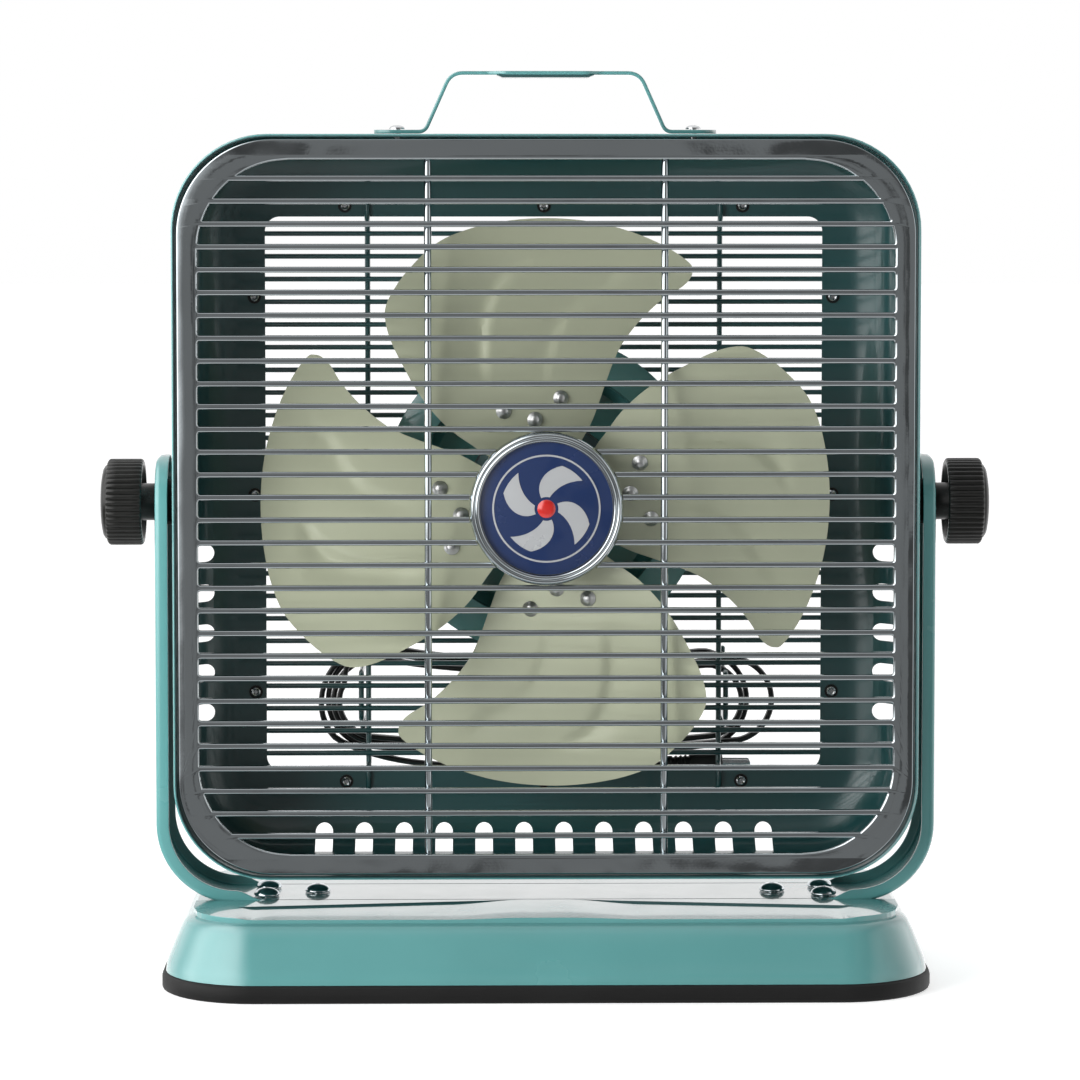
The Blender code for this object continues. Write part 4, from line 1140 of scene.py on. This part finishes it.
def pressed(x, z):
    """The two creases that are stamped into a blade."""
    fade = ease(z, 0.058, 0.082) * (1 - ease(z, 0.117, 0.134))
    left = distance_to_line(x, z, CREASE_LEFT)
    bowl = math.exp(-(left / 0.0120) ** 2) if left < 0 else math.exp(-(left / 0.0024) ** 2)
    right = distance_to_line(x, z, CREASE_RIGHT)
    step = (1 - ease(right, -0.0013, 0.0013)) * math.exp(-(min(right, 0) / 0.012) ** 2)
    return fade * (0.0030 * bowl + 0.0014 * step)


def make_blades():
    columns = 44
    rows = smooth_route(BLADE_EDGES, 4)
    half = BLADE_THICKNESS / 2
    hub = Matrix.Translation((0, FAN_Y, PIVOT_Z))
    for number in range(BLADES):
        place = hub @ Matrix.Rotation(math.radians(90 * number), 4, "Y")
        front, back = [], []
        for radius, left, right in rows:
            near, far = [], []
            for column in range(columns + 1):
                angle = math.radians(left + (right - left) * column / columns)
                x, z = radius * math.sin(angle), radius * math.cos(angle)
                y = blade_depth(x, z) + pressed(x, z)
                near.append(place @ Vector((x, y - half, z)))
                far.append(place @ Vector((x, y + half, z)))
            front.append(near)
            back.append(far)
        bm = bmesh.new()
        add_sheet(bm, front, back)
        blade = add_piece(f"fan_blade_{number + 1}", bm, CREAM, "fan", "cream_paint",
                          (f"blade_{number + 1}",), 40)
        bevel = blade.modifiers.new("edge", "BEVEL")
        bevel.width = 0.0003
        bevel.segments = 2
        bevel.limit_method = "ANGLE"
        bevel.angle_limit = math.radians(50)


def make_rivets():
    """Domed heads in front of each blade and the closed ends behind it."""
    profile = [(0, 0.0026), (0.0012, 0.0025), (0.0022, 0.0021), (0.0028, 0.0014),
               (0.0032, 0.0009), (0.0040, 0.0006), (0.0042, 0.0002), (0.0041, 0.0),
               (0.0018, 0), (0.0018, -0.0036), (0.0029, -0.0037), (0.0031, -0.0040),
               (0.0028, -0.0048), (0.0014, -0.0052), (0, -0.0052)]
    normal = Vector((-BLADE_SLOPE_ROOT, 1, 0)).normalized()
    hub = Matrix.Translation((0, FAN_Y, PIVOT_Z))
    for number in range(BLADES):
        turn = Matrix.Rotation(math.radians(90 * number), 4, "Y")
        for index, (x, z) in enumerate(RIVETS):
            middle = hub @ turn @ Vector((x, BLADE_SLOPE_ROOT * x, z))
            way = turn @ normal
            seat = middle - way * (BLADE_THICKNESS / 2 + 0.0002)
            which = number * len(RIVETS) + index + 1
            turned_piece(f"blade_rivet_{which}", (profile, seat, -way, 28), RIVET, "fan",
                         "rivet_aluminium", (f"rivet_{which}",), 50)


# ---- knobs
def make_tilt_knobs():
    ribs = 45
    dip = 0.0009
    profile = [
        (0, 0.0292), (0.0080, 0.0291), (0.0140, 0.0287), (0.0176, 0.0280),
        (0.0192, 0.0270), (0.0197, 0.0262), (0.0199, 0.0256), (0.0214, 0.0257),
        (0.0222, 0.0252, dip * 0.4), (KNOB_RADIUS, 0.0243, dip), (KNOB_RADIUS, 0.0200, dip),
        (KNOB_RADIUS, 0.0120, dip), (KNOB_RADIUS, 0.0084, dip), (0.0224, 0.0074, dip * 0.5),
        (0.0216, 0.0069), (0.0196, 0.0069), (0.0193, 0.0075), (0.0190, 0.0105),
        (0.0108, 0.0107), (0.0101, 0.0103), (0.0098, 0.0095), (0.0098, 0.0006),
        (0.0094, 0.0), (0.0043, 0.0), (0.0043, 0.0180), (0, 0.0180),
    ]
    for side, word in SIDES:
        turned_piece(
            f"clamp_knob_{word}",
            (profile, (side * KNOB_START, 0, PIVOT_Z), (side, 0, 0), ribs * 8), BLACK,
            f"knob_{word}", "black_plastic", (f"tilt_knob_{word}",), 35, ribs=ribs,
        )


# ---- CAD nodes kept
def dress_cad_nodes():
    """The CAD nodes whose shapes are right get these finishes."""
    # The spider and the motor bells take the teal painted darker, as painted shade.
    looks = {
        "fan_spider": TEAL_PAINTED_SHADE, "motor_shaft": STEEL, "rotor_core": IRON, "stator": IRON,
        "front_bearing": BRONZE, "rear_bearing": BRONZE, "motor_front_bell": TEAL_PAINTED_SHADE,
        "motor_rear_bell": TEAL_PAINTED_SHADE, "pivot_nut_left": STEEL, "pivot_nut_right": STEEL,
        "pivot_spacer_left": RUBBER, "pivot_spacer_right": RUBBER,
        "clamp_stud_left": STEEL, "clamp_stud_right": STEEL,
        "speed_switch": BLACK, "run_capacitor": BLACK,
    }
    for name, look in looks.items():
        obj = bpy.data.objects[name]
        obj.data.materials.clear()
        obj.data.materials.append(look)


# ---- stage
def area_light(name, location, target, size, power):
    """A soft light that isn't mirrored in gloss."""
    data = bpy.data.lights.new(name, "AREA")
    data.size = size
    data.energy = power
    light = new_object(name, data)
    light.location = location
    way = Vector(target) - Vector(location)
    light.rotation_euler = way.to_track_quat("-Z", "Y").to_euler()
    light.visible_glossy = False


def make_world():
    """White to the camera, bright behind and below, and dim and uneven elsewhere.

    The window, the ceiling and the panel beside the fan show only in gloss.
    """
    world = bpy.data.worlds.new("studio")
    bpy.context.scene.world = world
    world.use_nodes = True
    nodes, links = world.node_tree.nodes, world.node_tree.links
    nodes.clear()
    coordinates = nodes.new("ShaderNodeTexCoord")
    split = nodes.new("ShaderNodeSeparateXYZ")
    links.new(coordinates.outputs["Generated"], split.inputs["Vector"])

    def ramp(value, start, end, low, high):
        node = nodes.new("ShaderNodeMapRange")
        node.interpolation_type = "SMOOTHSTEP"
        set_inputs(node, {"From Min": start, "From Max": end, "To Min": low, "To Max": high})
        links.new(value, node.inputs["Value"])
        return node.outputs["Result"]

    def combined(operation, first, second):
        node = nodes.new("ShaderNodeMath")
        node.operation = operation
        links.new(first, node.inputs[0])
        links.new(second, node.inputs[1])
        return node.outputs["Value"]

    patches = nodes.new("ShaderNodeTexNoise")
    set_inputs(patches, {"Scale": 7.0, "Detail": 2.0})
    links.new(coordinates.outputs["Generated"], patches.inputs["Vector"])
    behind = ramp(split.outputs["Y"], -0.25, 0.75, 0.0, 1.25)
    below = ramp(split.outputs["Z"], -0.35, -0.80, 0.0, 0.80)
    room = ramp(patches.outputs["Fac"], 0.40, 0.47, 0.023, 0.23)
    light = combined("ADD", combined("MAXIMUM", behind, below), room)
    path = nodes.new("ShaderNodeLightPath")
    window = combined("MULTIPLY", ramp(split.outputs["X"], -0.13, -0.46, 0.0, 4.0),
                      ramp(split.outputs["Z"], -0.20, 0.02, 0.0, 1.0))
    window = combined("MULTIPLY", window, ramp(split.outputs["Y"], 0.45, -0.05, 0.0, 1.0))
    ceiling = ramp(split.outputs["Z"], 0.60, 0.90, 0.08, 0.75)
    beside = ramp(split.outputs["X"], 0.55, 0.85, 0.0, 1.1)
    seen_in_gloss = combined("ADD", window, combined("MAXIMUM", ceiling, beside))
    light = combined("ADD", light,
                     combined("MULTIPLY", seen_in_gloss, path.outputs["Is Glossy Ray"]))
    around = nodes.new("ShaderNodeBackground")
    links.new(light, around.inputs["Strength"])
    seen = nodes.new("ShaderNodeBackground")
    seen.inputs["Color"].default_value = (1, 1, 1, 1)
    mix = nodes.new("ShaderNodeMixShader")
    links.new(path.outputs["Is Camera Ray"], mix.inputs["Fac"])
    links.new(around.outputs["Background"], mix.inputs[1])
    links.new(seen.outputs["Background"], mix.inputs[2])
    links.new(mix.outputs["Shader"], nodes.new("ShaderNodeOutputWorld").inputs["Surface"])


def make_stage():
    bpy.context.scene.view_settings.view_transform = "Standard"
    make_world()
    bm = bmesh.new()
    bmesh.ops.create_grid(bm, x_segments=2, y_segments=2, size=12)
    mesh = bpy.data.meshes.new("floor")
    bm.to_mesh(mesh)
    bm.free()
    floor = new_object("floor", mesh)
    look = bpy.data.materials.new("floor_paper")
    look.use_nodes = True
    shader = look.node_tree.nodes["Principled BSDF"]
    set_inputs(shader, {"Base Color": (0.80, 0.80, 0.80, 1), "Roughness": 0.9,
                        "Emission Color": (1, 1, 1, 1), "Emission Strength": FLOOR_GLOW})
    mesh.materials.append(look)
    floor.visible_glossy = False
    area_light("key", (-1.35, -1.25, 0.55), (0, 0, 0.20), 1.1, KEY_POWER)
    area_light("fill", (0.6, -2.3, 1.5), (0, 0, 0.25), 1.4, FILL_POWER)


def main():
    make_camera()
    make_cord()
    make_base()
    make_base_pad()
    make_yoke()
    make_yoke_screws()
    make_housing()
    make_guard_screws()
    make_grille()
    make_badge()
    make_handle()
    make_rear_guard()
    make_cord_hooks()
    make_motor_dish()
    make_speed_knob()
    make_blades()
    make_rivets()
    make_tilt_knobs()
    dress_cad_nodes()
    make_stage()


main()
